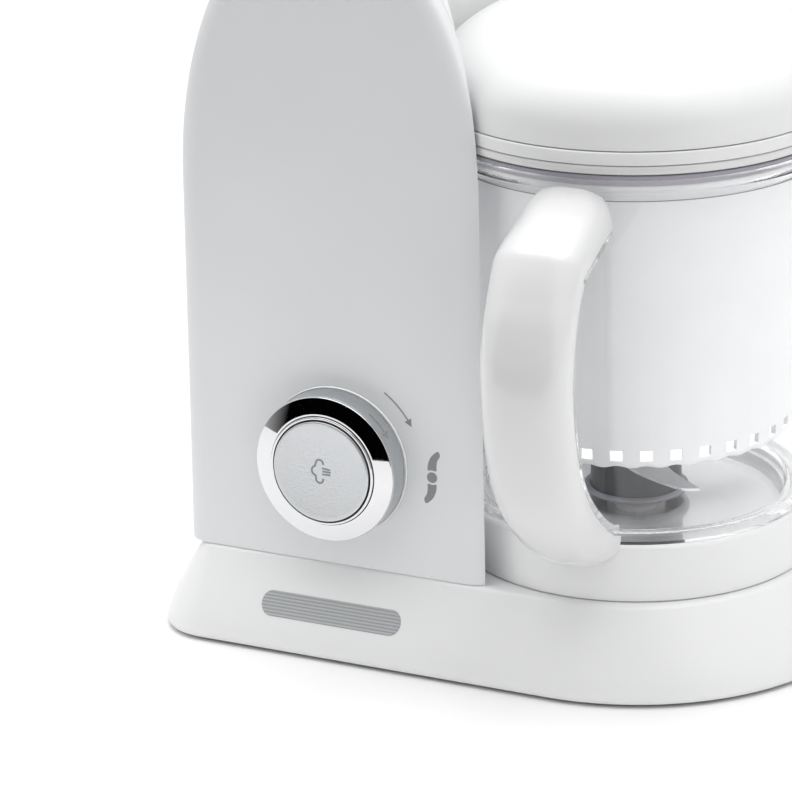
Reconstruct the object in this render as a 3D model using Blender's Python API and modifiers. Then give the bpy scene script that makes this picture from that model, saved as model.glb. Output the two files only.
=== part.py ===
"""Countertop baby food maker: a steam tower and a blending jug on one base.

The shapes are laid out in millimetres around the jug's upright axis: X runs to the right along
the front, Y runs to the back and Z runs up from the table. The empty called appliance carries
the whole layout, scaled to metres, to the middle of the object's footprint.
"""

import math

import bmesh
import bpy
from mathutils import Matrix, Vector

MM = 0.001
GAP = 0.3                      # running and assembly clearance between pieces
WALL = 2.5                     # moulded shells
AXIS_X, AXIS_Y = 38.85, 21.82  # jug axis from the middle of the footprint

# Base
BASE_RADIUS = 82.3             # round right end, about the jug axis
BASE_LEFT = 160.0
BASE_CORNER = 21.0
BASE_LIP = 3.6                 # upright band along the bottom edge
BASE_BOTTOM = 1.2
DECK = 33.0
FLARE = 14.4                   # how far the foot of the base stands out past the deck

# Tower
TOWER_X = -88.9
TOWER_FOOT = DECK + GAP
TOWER_HALF_FOOT = 60.1
TOWER_HALF_SPRING = 59.0       # half width where the arch starts
ARCH_SPRING = 171.0
ARCH_RISE = 105.0
FRONT_Y = -67.8
BACK_Y = 68.0
PANEL_BACK = -60.2
PANEL_EDGE = 3.5
BACK_EDGE = 12.0
SCOOP_RADIUS = 72.9            # hollow in the tower's side that the lid and jug stand in

# Jug, lid and pedestal
PEDESTAL_RADIUS = 64.8
PEDESTAL_TOP = 54.1
JUG_RADIUS_LOW, JUG_RADIUS_HIGH = 65.4, 68.2
JUG_FOOT = PEDESTAL_TOP + GAP
JUG_SHOULDER = 181.9
JUG_RIM = 189.3
JUG_RIM_RADIUS = 71.3
JUG_FLOOR = 46.6
BASKET_LOW, BASKET_HIGH = 80.3, 187.0
BASKET_SLOTS = 34
HUB_LOW, HUB_TOP = 52.3, 67.0
LID_RADIUS = 71.6
LID_GROOVE = 199.7
LID_TOP = 240.0

# Handle, in its own upright plane through the jug axis
HANDLE_TURN = math.radians(4.3)
HANDLE_HALF_WIDTH = 16.0
HANDLE_CROWN = 12.0            # depth of the cover's round back
HANDLE_TIP = 25.0              # the cover's lower end is rounded off over this length
HANDLE_PATH = [                # distance from the jug axis, height: the line along the cover's crown
    (66.0, 188.0), (76.0, 185.4), (91.0, 181.0), (106.5, 176.5), (116.0, 167.0), (122.5, 152.5),
    (126.3, 135.0), (124.5, 115.0), (120.0, 98.0), (115.0, 86.5), (106.0, 74.0), (92.0, 61.0),
    (75.0, 50.0), (54.0, 43.5),
]

# Knob and steam button
KNOB_X, KNOB_Z = -87.2, 73.2
KNOB_RADIUS = 27.3
KNOB_DEPTH = 12.2
BUTTON_RADIUS = 18.8
BUTTON_FACE = 14.0
BUTTON_BACK = 7.2

# Drive
MOTOR_X = -109.0
PULLEY_SMALL, PULLEY_LARGE = 8.0, 28.0
BELT_LOW, BELT_HIGH = 12.0, 18.0
BELT_THICK = 1.8

# Water heater
TANK_X = -104.5
TANK_RADIUS = 26.5
TANK_LOW, TANK_HIGH = 118.0, 238.0
CAP_X = -96.5
CAP_RECESS = 19.5
CAP_FLOOR = 262.0
STEAM_TURN = math.radians(35.0)
STEAM_Z = 207.0

FOOT_PLACES = [("front_left", -136.0, -58.0), ("front_right", 44.0, -46.0),
               ("rear_left", -136.0, 58.0), ("rear_right", 44.0, 46.0)]
SCREW_PLACES = [(-118.0, -46.0), (20.0, -50.0), (-118.0, 46.0), (20.0, 50.0)]

LARGE, SMALL = 36, 16          # steps in a turn


# ---------------------------------------------------------------- scene, materials, placing

def clear_scene():
    for obj in list(bpy.data.objects):
        bpy.data.objects.remove(obj, do_unlink=True)


def new_collection(name, hidden):
    collection = bpy.data.collections.new(name)
    bpy.context.scene.collection.children.link(collection)
    collection.hide_render = hidden
    return collection


def finish(name, colour, roughness, metallic=0.0, transmission=0.0):
    material = bpy.data.materials.new(name)
    material.use_nodes = True
    shader = material.node_tree.nodes["Principled BSDF"]
    shader.inputs["Base Color"].default_value = (*colour, 1.0)
    shader.inputs["Roughness"].default_value = roughness
    shader.inputs["Metallic"].default_value = metallic
    shader.inputs["Transmission Weight"].default_value = transmission
    material.diffuse_color = (*colour, 1.0)
    return material


def add_empty(name, place, parent=None):
    empty = bpy.data.objects.new(name, None)
    empty.empty_display_size = 0.01
    empty.location = Vector(place) * MM
    empty.parent = parent
    PARTS.objects.link(empty)
    return empty


def add_object(name, data, material, parent, place=(0, 0, 0), turn=(0, 0, 0)):
    obj = bpy.data.objects.new(name, data)
    if material:
        obj.data.materials.append(material)
        PARTS.objects.link(obj)
    else:
        CUTTERS.objects.link(obj)
        obj.hide_render = True
        obj.display_type = "WIRE"
    obj.parent = parent
    obj.location = Vector(place) * MM
    obj.rotation_euler = turn
    return obj


# ---------------------------------------------------------------- outlines

def arc(centre_x, centre_y, radius, start, end, steps):
    """Points of an arc, angles in degrees, both ends included."""
    angles = [math.radians(start + (end - start) * i / steps) for i in range(steps + 1)]
    return [(centre_x + radius * math.cos(a), centre_y + radius * math.sin(a)) for a in angles]


def rounded(corners, steps=3):
    """A closed outline of (x, y) corners, where a third value rounds the corner to that radius."""
    outline = []
    for i, corner in enumerate(corners):
        point = Vector(corner[:2])
        if len(corner) == 2:
            outline.append(tuple(point))
            continue
        back = (Vector(corners[i - 1][:2]) - point).normalized()
        ahead = (Vector(corners[(i + 1) % len(corners)][:2]) - point).normalized()
        half = back.angle(ahead) / 2
        centre = point + (back + ahead).normalized() * corner[2] / math.sin(half)
        first = point + back * corner[2] / math.tan(half) - centre
        sweep = math.copysign(math.pi - 2 * half, ahead.cross(back))
        for k in range(steps + 1):
            outline.append(tuple(centre + Matrix.Rotation(sweep * k / steps, 2) @ first))
    return outline


def smooth_path(points, per_span):
    """Points of a Catmull-Rom curve through the given points."""
    knots = [Vector(p) for p in points]
    ends = [2 * knots[0] - knots[1]] + knots + [2 * knots[-1] - knots[-2]]
    path = []
    for a, b, c, d in zip(ends, ends[1:], ends[2:], ends[3:]):
        for k in range(per_span):
            t = k / per_span
            path.append(0.5 * (2 * b + (c - a) * t + (2 * a - 5 * b + 4 * c - d) * t ** 2
                               + (3 * b - a - 3 * c + d) * t ** 3))
    return path + [knots[-1]]


# ---------------------------------------------------------------- solids

def turned(name, profile, material, parent, place=(0, 0, 0), turn=(0, 0, 0), steps=LARGE, closed=True):
    """A turned solid: the profile's (radius, height) points run out over the top and down outside."""
    mesh = bpy.data.meshes.new(name)
    edges = [(i, i + 1) for i in range(len(profile) - 1)]
    if closed:
        edges.append((len(profile) - 1, 0))
    mesh.from_pydata([(r * MM, 0, z * MM) for r, z in profile], edges, [])
    obj = add_object(name, mesh, material, parent, place, turn)
    screw = obj.modifiers.new("turn", "SCREW")
    screw.steps = screw.render_steps = steps
    screw.use_merge_vertices = True
    screw.merge_threshold = 0.00001
    screw.use_smooth_shade = False
    return obj


def cylinder(name, radius, low, high, material, parent, place=(0, 0, 0), turn=(0, 0, 0), steps=SMALL):
    bm = bmesh.new()
    bmesh.ops.create_cone(bm, cap_ends=True, segments=steps, radius1=radius * MM, radius2=radius * MM,
                          depth=(high - low) * MM)
    bmesh.ops.translate(bm, vec=(0, 0, (high + low) / 2 * MM), verts=bm.verts)
    return add_bmesh(name, bm, material, parent, place, turn)


def block(name, size, material, parent, place, bevel=0.0, turn=(0, 0, 0)):
    bm = bmesh.new()
    bmesh.ops.create_cube(bm, size=MM)
    bmesh.ops.scale(bm, vec=size, verts=bm.verts)
    obj = add_bmesh(name, bm, material, parent, place, turn)
    if bevel:
        edges = obj.modifiers.new("edges", "BEVEL")
        edges.width = bevel * MM
        edges.segments = 2
    return obj


def add_bmesh(name, bm, material, parent, place=(0, 0, 0), turn=(0, 0, 0)):
    mesh = bpy.data.meshes.new(name)
    bm.to_mesh(mesh)
    bm.free()
    return add_object(name, mesh, material, parent, place, turn)


def plate(name, outlines, thickness, material, parent, place=(0, 0, 0), turn=(0, 0, 0)):
    """A flat piece from 2D outlines, the later ones being holes, centred on its own plane."""
    curve = bpy.data.curves.new(name, "CURVE")
    curve.dimensions = "2D"
    curve.fill_mode = "BOTH"
    curve.extrude = thickness / 2 * MM
    for outline in outlines:
        spline = curve.splines.new("POLY")
        spline.points.add(len(outline) - 1)
        spline.use_cyclic_u = True
        for point, (x, y) in zip(spline.points, outline):
            point.co = (x * MM, y * MM, 0, 1)
    return meshed(add_object(name, curve, material, parent, place, turn))


def tube(name, points, radius, material, parent, place=(0, 0, 0), turn=(0, 0, 0)):
    """A round bar or pipe along the points."""
    curve = bpy.data.curves.new(name, "CURVE")
    curve.dimensions = "3D"
    curve.bevel_depth = radius * MM
    curve.bevel_resolution = 2
    curve.use_fill_caps = True
    spline = curve.splines.new("POLY")
    spline.points.add(len(points) - 1)
    for point, place_3d in zip(spline.points, points):
        point.co = (*(Vector(place_3d) * MM), 1)
    return add_object(name, curve, material, parent, place, turn)


def meshed(source):
    """The same piece as a welded mesh, so that it can be cut."""
    name = source.name
    bpy.context.view_layer.update()
    shape = source.evaluated_get(bpy.context.evaluated_depsgraph_get())
    mesh = bpy.data.meshes.new_from_object(shape)
    bm = bmesh.new()
    bm.from_mesh(mesh)
    bmesh.ops.remove_doubles(bm, verts=bm.verts, dist=0.000001)
    bm.to_mesh(mesh)
    bm.free()
    parent, place, turn = source.parent, source.location / MM, source.rotation_euler.copy()
    material = source.data.materials[0] if source.data.materials else None
    bpy.data.objects.remove(source, do_unlink=True)
    mesh.materials.clear()
    return add_object(name, mesh, material, parent, place, turn)


def lofted(name, rings, material, parent, capped=(True, True), place=(0, 0, 0), turn=(0, 0, 0)):
    """A skin through closed rings that have the same number of points."""
    bm = bmesh.new()
    loops = [[bm.verts.new(Vector(p) * MM) for p in ring] for ring in rings]
    for low, high in zip(loops, loops[1:]):
        for i in range(len(low)):
            bm.faces.new((low[i - 1], low[i], high[i], high[i - 1]))
    if capped[0]:
        bm.faces.new(loops[0][::-1])
    if capped[1]:
        bm.faces.new(loops[-1])
    bmesh.ops.recalc_face_normals(bm, faces=bm.faces)
    return add_bmesh(name, bm, material, parent, place, turn)


def combine(obj, other, operation="DIFFERENCE"):
    boolean = obj.modifiers.new(operation.lower(), "BOOLEAN")
    boolean.operation = operation
    boolean.object = other
    return obj


def drill(obj, radius, low, high, parent, place, turn=(0, 0, 0), steps=SMALL):
    return combine(obj, cylinder(obj.name + "_hole", radius, low, high, None, parent, place, turn, steps))


# ---------------------------------------------------------------- base

def base_outline(inset):
    radius, corner = BASE_RADIUS - inset, BASE_CORNER - inset
    corner_x, corner_y = BASE_CORNER - BASE_LEFT, BASE_RADIUS - BASE_CORNER
    return (arc(0, 0, radius, -90, 90, 18) + arc(corner_x, corner_y, corner, 90, 180, 4)
            + arc(corner_x, -corner_y, corner, 180, 270, 4))


def base_section():
    """(height, inset) up the base's side: a lip, then a gently swelling slope to the deck."""
    section = [(BASE_BOTTOM, 0.8), (BASE_BOTTOM + 0.8, 0.0), (BASE_LIP, 0.0)]
    for height in (8.0, 14.0, 20.0, 26.0, 31.0, DECK):
        share = (height - BASE_LIP) / (DECK - BASE_LIP)
        section.append((height, FLARE * share ** 1.3))
    return section


def make_base(parent):
    rings = [[(x, y, z) for x, y in base_outline(inset)] for z, inset in base_section()]
    shell = lofted("base_shell", rings, WHITE, parent, capped=(False, True))
    wall = shell.modifiers.new("wall", "SOLIDIFY")
    wall.thickness = WALL * MM
    wall.use_even_offset = True
    for x, y in SCREW_PLACES:
        boss = cylinder("boss", 4.6, 6.3, DECK - 1.5, None, parent, (x, y, 0), steps=8)
        combine(shell, boss, "UNION")
    drill(shell, 12.0, 20, 40, parent, (0, 0, 0), steps=LARGE)
    drill(shell, 7.0, 20, 40, parent, (MOTOR_X, 0, 0))
    drill(shell, 9.0, 20, 40, parent, (-112, 44, 0))
    for x, y in SCREW_PLACES:
        drill(shell, 1.8, 4, 20, parent, (x, y, 0), steps=8)
    cover = plate("bottom_cover", [base_outline(WALL + 1.3)], 2.4, WHITE, parent, (0, 0, 4.6))
    foot = rounded([(0, 3.1), (8.5, 3.1), (8.5, 0, 1.0), (0, 0)])
    screw = [(0, 18), (1.5, 18), (1.5, 3.1), (3.4, 3.1), (3.4, 2.4), (2.4, 1.7), (0, 1.7)]
    for label, x, y in FOOT_PLACES:
        turned("foot_" + label, foot, RUBBER, parent, (x, y, 0), closed=False, steps=SMALL)
    for number, (x, y) in enumerate(SCREW_PLACES, 1):
        drill(cover, 1.8, 1, 8, parent, (x, y, 0), steps=8)
        turned(f"cover_screw_{number}", screw, STEEL, parent, (x, y, 0), closed=False, steps=SMALL)


def make_pedestal(parent):
    profile = rounded([
        (57.5, PEDESTAL_TOP, 1.0), (PEDESTAL_RADIUS, PEDESTAL_TOP, 1.5), (PEDESTAL_RADIUS, TOWER_FOOT),
        (PEDESTAL_RADIUS - WALL, TOWER_FOOT), (PEDESTAL_RADIUS - WALL, PEDESTAL_TOP - WALL),
        (55.2, PEDESTAL_TOP - WALL), (55.2, 43.2), (19.4, 43.2), (19.4, 35.0), (9.0, 35.0), (9.0, 37.0),
        (17.0, 37.0), (17.0, 45.4), (57.5, 45.4)], steps=2)
    turned("jug_pedestal", profile, WHITE, parent)


# ---------------------------------------------------------------- tower

def arch_outline(inset, foot):
    """The tower's front outline: upright sides that lean in a little and half an ellipse on top."""
    half_foot, half_spring = TOWER_HALF_FOOT - inset, TOWER_HALF_SPRING - inset
    rise = ARCH_RISE - inset
    corner = 3.5
    left = arc(TOWER_X - half_foot + corner, foot + corner, corner, 270, 180, 3)
    right = arc(TOWER_X + half_foot - corner, foot + corner, corner, 0, -90, 3)
    crown = [(TOWER_X + half_spring * math.cos(a), ARCH_SPRING + rise * math.sin(a))
             for a in (math.pi * (1 - i / 22) for i in range(23))]
    return left + crown + right


def arch_rings(section):
    """Rings of the tower for (y, inset, foot) stations from front to back."""
    return [[(x, y, z) for x, z in arch_outline(inset, foot)] for y, inset, foot in section]


def round_edge(y, radius, way, inset=0.0, foot=TOWER_FOOT, lift=1.0, steps=4):
    """Stations of a quarter-round edge that ends a tower section at y."""
    stations = []
    for i in range(steps + 1):
        angle = math.pi / 2 * i / steps
        step_in = radius * (1 - math.cos(angle))
        stations.append((y - way * radius * (1 - math.sin(angle)), inset + step_in, foot + lift * step_in))
    return stations


def hollow(name, stations, parent):
    """The space inside a tower shell, which follows the scoop at one wall's thickness."""
    space = lofted(name, arch_rings(stations), None, parent)
    drill(space, SCOOP_RADIUS + WALL, 0, 300, parent, (0, 0, 0), steps=64)
    return space


def make_tower(parent):
    outside = [(PANEL_BACK + GAP, 0, TOWER_FOOT)] + round_edge(BACK_Y, BACK_EDGE, 1)
    inside = [(-75, WALL, 20)] + round_edge(BACK_Y - WALL, BACK_EDGE - WALL, 1, WALL, 20, lift=0.0)
    scoop = cylinder("scoop", SCOOP_RADIUS, 0, 300, None, parent, steps=64)
    shell = lofted("tower_shell", arch_rings(outside), WHITE, parent)
    combine(shell, scoop)
    combine(shell, hollow("tower_space", inside, parent))
    drill(shell, CAP_RECESS, CAP_FLOOR - 4, 300, parent, (CAP_X, 0, 0), steps=LARGE)
    drill(shell, 7.0, -3, 7, parent, on_steam_axis(SCOOP_RADIUS), (0, -math.pi / 2, STEAM_TURN))
    drill(shell, 7.2, -10, 10, parent, (-110, BACK_Y, 50), (math.pi / 2, 0, 0))

    flat_front = list(reversed(round_edge(FRONT_Y, PANEL_EDGE, -1)))
    front = lofted("front_panel", arch_rings(flat_front + [(PANEL_BACK, 0, TOWER_FOOT)]), PANEL, parent)
    combine(front, scoop)
    pocket = [(FRONT_Y + WALL, WALL, TOWER_FOOT + WALL), (PANEL_BACK + 5, WALL, TOWER_FOOT + WALL)]
    combine(front, hollow("panel_space", pocket, parent))
    drill(front, 6.6, -10, 10, parent, (KNOB_X, FRONT_Y, KNOB_Z), (math.pi / 2, 0, 0))

    gland = rounded([(4.0, 3.0), (10.0, 3.0, 1.0), (10.0, GAP), (6.9, GAP), (6.9, -5.0), (4.0, -5.0)])
    turned("mains_gland", gland, RUBBER, parent, (-110, BACK_Y, 50), (-math.pi / 2, 0, 0), SMALL)


def on_steam_axis(distance):
    """A point on the steam outlet's line, at a distance from the jug axis."""
    return (-distance * math.cos(STEAM_TURN), -distance * math.sin(STEAM_TURN), STEAM_Z)


def make_heater(parent):
    tank = turned("water_tank", rounded([(0, TANK_HIGH), (TANK_RADIUS, TANK_HIGH, 7.0),
                                         (TANK_RADIUS, TANK_LOW, 4.0), (0, TANK_LOW)]),
                  STEEL, parent, (TANK_X, 0, 0), closed=False, steps=SMALL)
    space = turned("tank_space", rounded([(0, TANK_HIGH - 2), (TANK_RADIUS - 2, TANK_HIGH - 2, 5.0),
                                          (TANK_RADIUS - 2, TANK_LOW + 2, 3.0), (0, TANK_LOW + 2)]),
                   None, parent, (TANK_X, 0, 0), closed=False, steps=SMALL)
    combine(tank, space)
    drill(tank, 12.0, TANK_HIGH - 4, TANK_HIGH + 4, parent, (CAP_X, 0, 0))
    element = rounded([(0, TANK_LOW - GAP), (24, TANK_LOW - GAP, 1.5), (24, TANK_LOW - 9, 1.5),
                       (0, TANK_LOW - 9)])
    turned("heating_element", element, CAST, parent, (TANK_X, 0, 0), closed=False, steps=SMALL)
    cylinder("thermostat", 7.5, TANK_LOW - 16, TANK_LOW - 9 - GAP, DARK, parent, (TANK_X, 0, 0))

    neck = turned("tank_neck", [(17.8, 290), (CAP_RECESS - GAP, 290), (CAP_RECESS - GAP, CAP_FLOOR - 2.4),
                                (13.8, CAP_FLOOR - 2.4), (13.8, TANK_HIGH + GAP), (12, TANK_HIGH + GAP),
                                (12, CAP_FLOOR), (17.8, CAP_FLOOR)], WHITE, parent, (CAP_X, 0, 0))
    outside = lofted("tower_top", arch_rings([(-60, 0.1, TOWER_FOOT), (60, 0.1, TOWER_FOOT)]), None, parent)
    combine(neck, outside, "INTERSECT")

    route = [(TANK_X, -16, TANK_HIGH + GAP), (TANK_X, -16.5, 246), (-99, -29, 251), (-86, -42, 240),
             (-76, -49.5, 219), on_steam_axis(87), on_steam_axis(79.6)]
    tube("steam_pipe", smooth_path(route, 4), 3.2, RUBBER, parent)
    gasket = rounded([(3.6, 6.9), (6.7, 6.9, 0.8), (6.7, 3.3), (9.2, 3.3), (9.2, 1.0), (6.7, 0), (3.6, 0)])
    turned("steam_gasket", gasket, RUBBER, parent, on_steam_axis(79.3), (0, math.pi / 2, STEAM_TURN), SMALL)


def make_cap(parent):
    lift = add_empty("cap_lift", (CAP_X, 0, CAP_FLOOR), parent)
    plug = rounded([(0, 14.0), (17.4, 14.0, 1.0), (17.4, 2.3), (11.4, 2.3), (11.4, -17, 1.5), (0, -17)])
    turned("cap_plug", plug, WHITE, lift, closed=False, steps=24)
    turned("cap_seal", [(11.7, 2.0), (16.6, 2.0), (16.6, GAP), (11.7, GAP)], RUBBER, lift)
    twist = add_empty("cap_twist", (0, 0, 0), lift)
    disc = rounded([(0, 19.6), (13.5, 19.6), (20.6, 17.4, 1.5), (20.6, 14.4, 1.0), (0, 14.4)])
    grip = turned("cap_grip", disc, WHITE, twist, closed=False)
    bar = block("cap_bar", (40.0, 11.0, 21.0), None, twist, (0, 0, 27.5), bevel=4.5)
    combine(grip, bar, "UNION")


# ---------------------------------------------------------------- controls

def make_controls(parent):
    facing = (math.pi / 2, 0, 0)
    axis = (KNOB_X, FRONT_Y, KNOB_Z)
    turned("dial_ring", [(22, 1.2), (27.9, 1.2), (28.5, GAP), (22, GAP)], LIGHT_RING, parent, axis, facing)
    switch = block("rotary_switch", (34, 11, 34), DARK, parent, (KNOB_X, -58.0, KNOB_Z), bevel=1.0)
    drill(switch, 6.4, -8, 8, parent, (KNOB_X, -58.0, KNOB_Z), facing)
    block("control_board", (58, 1.6, 50), BOARD, parent, (-96.0, -39.0, KNOB_Z))

    knob = add_empty("knob_turn", axis, parent)
    body = rounded([(20.6, KNOB_DEPTH - 2.4), (KNOB_RADIUS, KNOB_DEPTH - 2.4), (KNOB_RADIUS, 1.5, 0.8),
                    (6.4, 1.5), (6.4, 2.2), (3.3, 2.2), (3.3, 5.0), (20.6, 5.0)])
    turned("knob_body", body, SILVER, knob, turn=facing)
    bezel_back = KNOB_DEPTH - 2.4 + 0.25
    bezel = rounded([(20.6, KNOB_DEPTH), (21.2, KNOB_DEPTH, 0.3), (KNOB_RADIUS, KNOB_DEPTH - 1.6, 0.5),
                     (KNOB_RADIUS, bezel_back), (20.6, bezel_back)])
    turned("knob_bezel", bezel, CHROME, knob, turn=facing)
    turned("knob_inner_ring", [(19.3, 13.0), (20.3, 13.0), (20.3, 5.3), (19.3, 5.3)], SILVER, knob, turn=facing)
    turned("knob_shaft", [(3.3, 1.9), (6.1, 1.9), (6.1, -15.5), (3.3, -15.5)], DARK, knob, turn=facing,
           steps=SMALL)

    button = add_empty("button_press", axis, parent)
    cap = rounded([(0, BUTTON_FACE), (BUTTON_RADIUS, BUTTON_FACE - 0.6, 0.6), (BUTTON_RADIUS, BUTTON_BACK),
                   (0, BUTTON_BACK)])
    turned("steam_button", cap, SILVER, button, turn=facing, closed=False)
    stem = [(0, BUTTON_BACK - GAP), (2.7, BUTTON_BACK - GAP), (2.7, -17.2), (5.2, -17.2), (5.2, -18.4),
            (2.7, -18.4), (2.7, -25.6), (0, -25.6)]
    turned("button_stem", stem, DARK, button, turn=facing, closed=False, steps=SMALL)
    turns, per_turn, length = 5, 8, 6.4
    coil = [(4.1 * math.cos(math.tau * i / per_turn), 4.1 * math.sin(math.tau * i / per_turn),
             -27.3 + length * i / (turns * per_turn)) for i in range(turns * per_turn + 1)]
    tube("button_spring", coil, 0.35, STEEL, parent, axis, facing)


# ---------------------------------------------------------------- drive

def belt_outline(offset):
    """The closed line of an open belt round the two pulleys, offset outward."""
    wrap = math.degrees(math.acos((PULLEY_SMALL - PULLEY_LARGE) / abs(MOTOR_X)))
    return (arc(0, 0, PULLEY_LARGE + offset, -wrap, wrap, 20)
            + arc(MOTOR_X, 0, PULLEY_SMALL + offset, wrap, 360 - wrap, 10))


def pulley_profile(radius, bore):
    return [(bore, BELT_HIGH + 1.8), (radius + 3, BELT_HIGH + 1.8), (radius + 3, BELT_HIGH + 0.5),
            (radius, BELT_HIGH + 0.3), (radius, BELT_LOW - 0.3), (radius + 3, BELT_LOW - 0.5),
            (radius + 3, BELT_LOW - 1.8), (bore, BELT_LOW - 1.8)]


def make_drive(parent):
    can = rounded([(3.6, 96), (10, 96), (10, 92), (26, 92, 2.5), (26, 37, 2.5), (3.6, 37)])
    turned("motor_can", can, STEEL, parent, (MOTOR_X, 0, 0), steps=SMALL)
    belt = [belt_outline(GAP + BELT_THICK), belt_outline(GAP)]
    plate("drive_belt", belt, BELT_HIGH - BELT_LOW, RUBBER, parent, (0, 0, (BELT_LOW + BELT_HIGH) / 2))
    turned("spindle_bearing", [(4.3, DECK), (11.7, DECK), (11.7, 25), (4.3, 25)], CAST, parent, steps=SMALL)

    rotor = add_empty("motor_turn", (MOTOR_X, 0, 0), parent)
    cylinder("rotor_shaft", 3.0, 8.0, 100.0, STEEL, rotor)
    turned("motor_pulley", pulley_profile(PULLEY_SMALL, 3.3), DARK, rotor, steps=SMALL)

    spindle = add_empty("spindle_turn", (0, 0, 0), parent)
    cylinder("spindle_shaft", 4.0, 8.0, 35.0, STEEL, spindle)
    turned("spindle_pulley", pulley_profile(PULLEY_LARGE, 4.3), DARK, spindle, steps=24)
    cylinder("drive_dog", 5.8, 35.3, 43.4, DARK, spindle, steps=6)


# ---------------------------------------------------------------- jug, handle and blade

def jug_outside(clearance=0.0):
    """The jug wall's outer line from the rim down to the foot."""
    return [(JUG_RIM_RADIUS + clearance, JUG_SHOULDER + 3.2 - clearance),
            (JUG_RADIUS_HIGH + clearance, JUG_SHOULDER), (JUG_RADIUS_LOW + clearance, JUG_FOOT + 4)]


def make_jug(parent):
    shoulder, wall, heel = jug_outside()
    inner_high, inner_low = JUG_RADIUS_HIGH - 3.0, JUG_RADIUS_LOW - 3.0
    profile = rounded([
        (JUG_RIM_RADIUS - 2.6, JUG_RIM), (JUG_RIM_RADIUS, JUG_RIM), shoulder, wall,
        (*heel, 3.0), (JUG_RADIUS_LOW - 1.6, JUG_FOOT), (56.8, JUG_FOOT), (56.6, JUG_FLOOR, 1.5),
        (8.0, JUG_FLOOR), (8.0, JUG_FLOOR + 2.6), (53.0, JUG_FLOOR + 2.6, 4.0),
        (55.0, JUG_FOOT + 2.8), (inner_low, JUG_FOOT + 3.4, 3.0), (inner_high, JUG_SHOULDER - 1),
        (JUG_RIM_RADIUS - 2.6, JUG_SHOULDER + 4)], steps=2)
    turned("jug_bowl", profile, CLEAR, parent)


def make_handle(parent):
    """A white cover over the jug's clear handle frame, both swept along the crown line."""
    plane = add_empty("handle_plane", (0, 0, 0), parent)
    plane.rotation_euler = (0, 0, HANDLE_TURN - math.pi / 2)
    path = smooth_path(HANDLE_PATH, 1)
    lengths = [0.0]
    for a, b in zip(path, path[1:]):
        lengths.append(lengths[-1] + (b - a).length)
    flange_low, flange_high = HANDLE_CROWN + 0.5, HANDLE_CROWN + 4.3
    section = [(-15.4, flange_high), (15.4, flange_high), (15.4, flange_low), (11.6, flange_low), (9.5, 4.4),
               (-9.5, 4.4), (-11.6, flange_low), (-15.4, flange_low)]
    rows, frame = [], []
    for i, point in enumerate(path):
        ahead = (path[min(i + 1, len(path) - 1)] - path[max(i - 1, 0)]).normalized()
        inward = Vector((ahead.y, -ahead.x))
        left = lengths[-1] - lengths[i]
        narrow = max((1 - max(1 - left / HANDLE_TIP, 0) ** 4) ** 0.25, 0.7)
        row = []
        for k in range(11):
            angle = math.radians(-90 + 180 * k / 10)
            side = math.copysign(abs(math.sin(angle)) ** 0.8, angle) * HANDLE_HALF_WIDTH * narrow
            depth = HANDLE_CROWN * (1 - math.cos(angle) ** 0.8)
            row.append((point.x + inward.x * depth, side, point.y + inward.y * depth))
        rows.append(row)
        frame.append([(point.x + inward.x * d, s * narrow, point.y + inward.y * d) for s, d in section])
    keep_out = turned("jug_keep_out", [(0, 200), (JUG_RIM_RADIUS + GAP, 200)] + jug_outside(GAP)
                      + [(PEDESTAL_RADIUS + 0.7, 30), (0, 30)], None, parent, closed=False)
    cover = sheet("handle_cover", rows, WHITE, plane)
    skin = cover.modifiers.new("wall", "SOLIDIFY")
    skin.thickness = 2.2 * MM
    skin.offset = 1
    combine(cover, keep_out)
    combine(lofted("handle_frame", frame, CLEAR, plane), keep_out)


def sheet(name, rows, material, parent):
    """An open skin through rows of points."""
    bm = bmesh.new()
    grid = [[bm.verts.new(Vector(p) * MM) for p in row] for row in rows]
    for low, high in zip(grid, grid[1:]):
        for a, b, c, d in zip(low, low[1:], high[1:], high):
            bm.faces.new((a, b, c, d))
    return add_bmesh(name, bm, material, parent)


def blade_outline(reach, width, sweep):
    """Half a blade: a curved arm from the hub to a pointed tip, mirrored through the middle."""
    arm = [(-width, -6.5), (-width * 0.9, -reach * 0.5), (sweep * 0.4, -reach * 0.93), (sweep, -reach),
           (width * 0.9, -reach * 0.55), (width, -6.5)]
    return arm + [(-x, -y) for x, y in arm]


def make_blade(parent):
    blade = add_empty("blade_turn", (0, 0, 0), parent)
    socket = turned("drive_socket", rounded([(0, 46.2), (11, 46.2, 1.0), (11, 38.0), (0, 38.0)]), DARK,
                    blade, closed=False, steps=SMALL)
    combine(socket, cylinder("socket_hex", 6.5, 30, 44.0, None, blade, steps=6))
    cylinder("blade_shaft", 3.0, 46.5, HUB_TOP + 5.4, STEEL, blade)
    hub = rounded([(3.3, HUB_TOP), (18.9, HUB_TOP, 1.5), (19.2, 60.5), (18.6, 59.5), (19.2, HUB_LOW),
                   (16.9, HUB_LOW), (16.4, 61.0), (9.5, 61.0), (9.5, 56.0), (3.3, 56.0)], steps=2)
    turned("blade_hub", hub, HUB_GREY, blade, steps=24)
    for name, height, reach, turn in (("blade_lower", HUB_TOP + 0.9, 48, 0.6),
                                      ("blade_upper", HUB_TOP + 2.4, 38, 2.1)):
        knife = plate(name, [blade_outline(reach, 7.5, 13)], 1.0, BLADE, blade, (0, 0, height),
                      (0, 0, turn))
        drill(knife, 3.3, -3, 3, blade, (0, 0, height))
    nut = cylinder("blade_nut", 5.6, HUB_TOP + 3.3, HUB_TOP + 6.4, STEEL, blade, steps=6)
    drill(nut, 3.3, HUB_TOP, HUB_TOP + 10, blade, (0, 0, 0))
    turned("blade_bushing", rounded([(3.3, 52.6), (7.6, 52.6, 0.8), (7.6, JUG_FLOOR), (3.3, JUG_FLOOR)]),
           RUBBER, parent, steps=SMALL)


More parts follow.
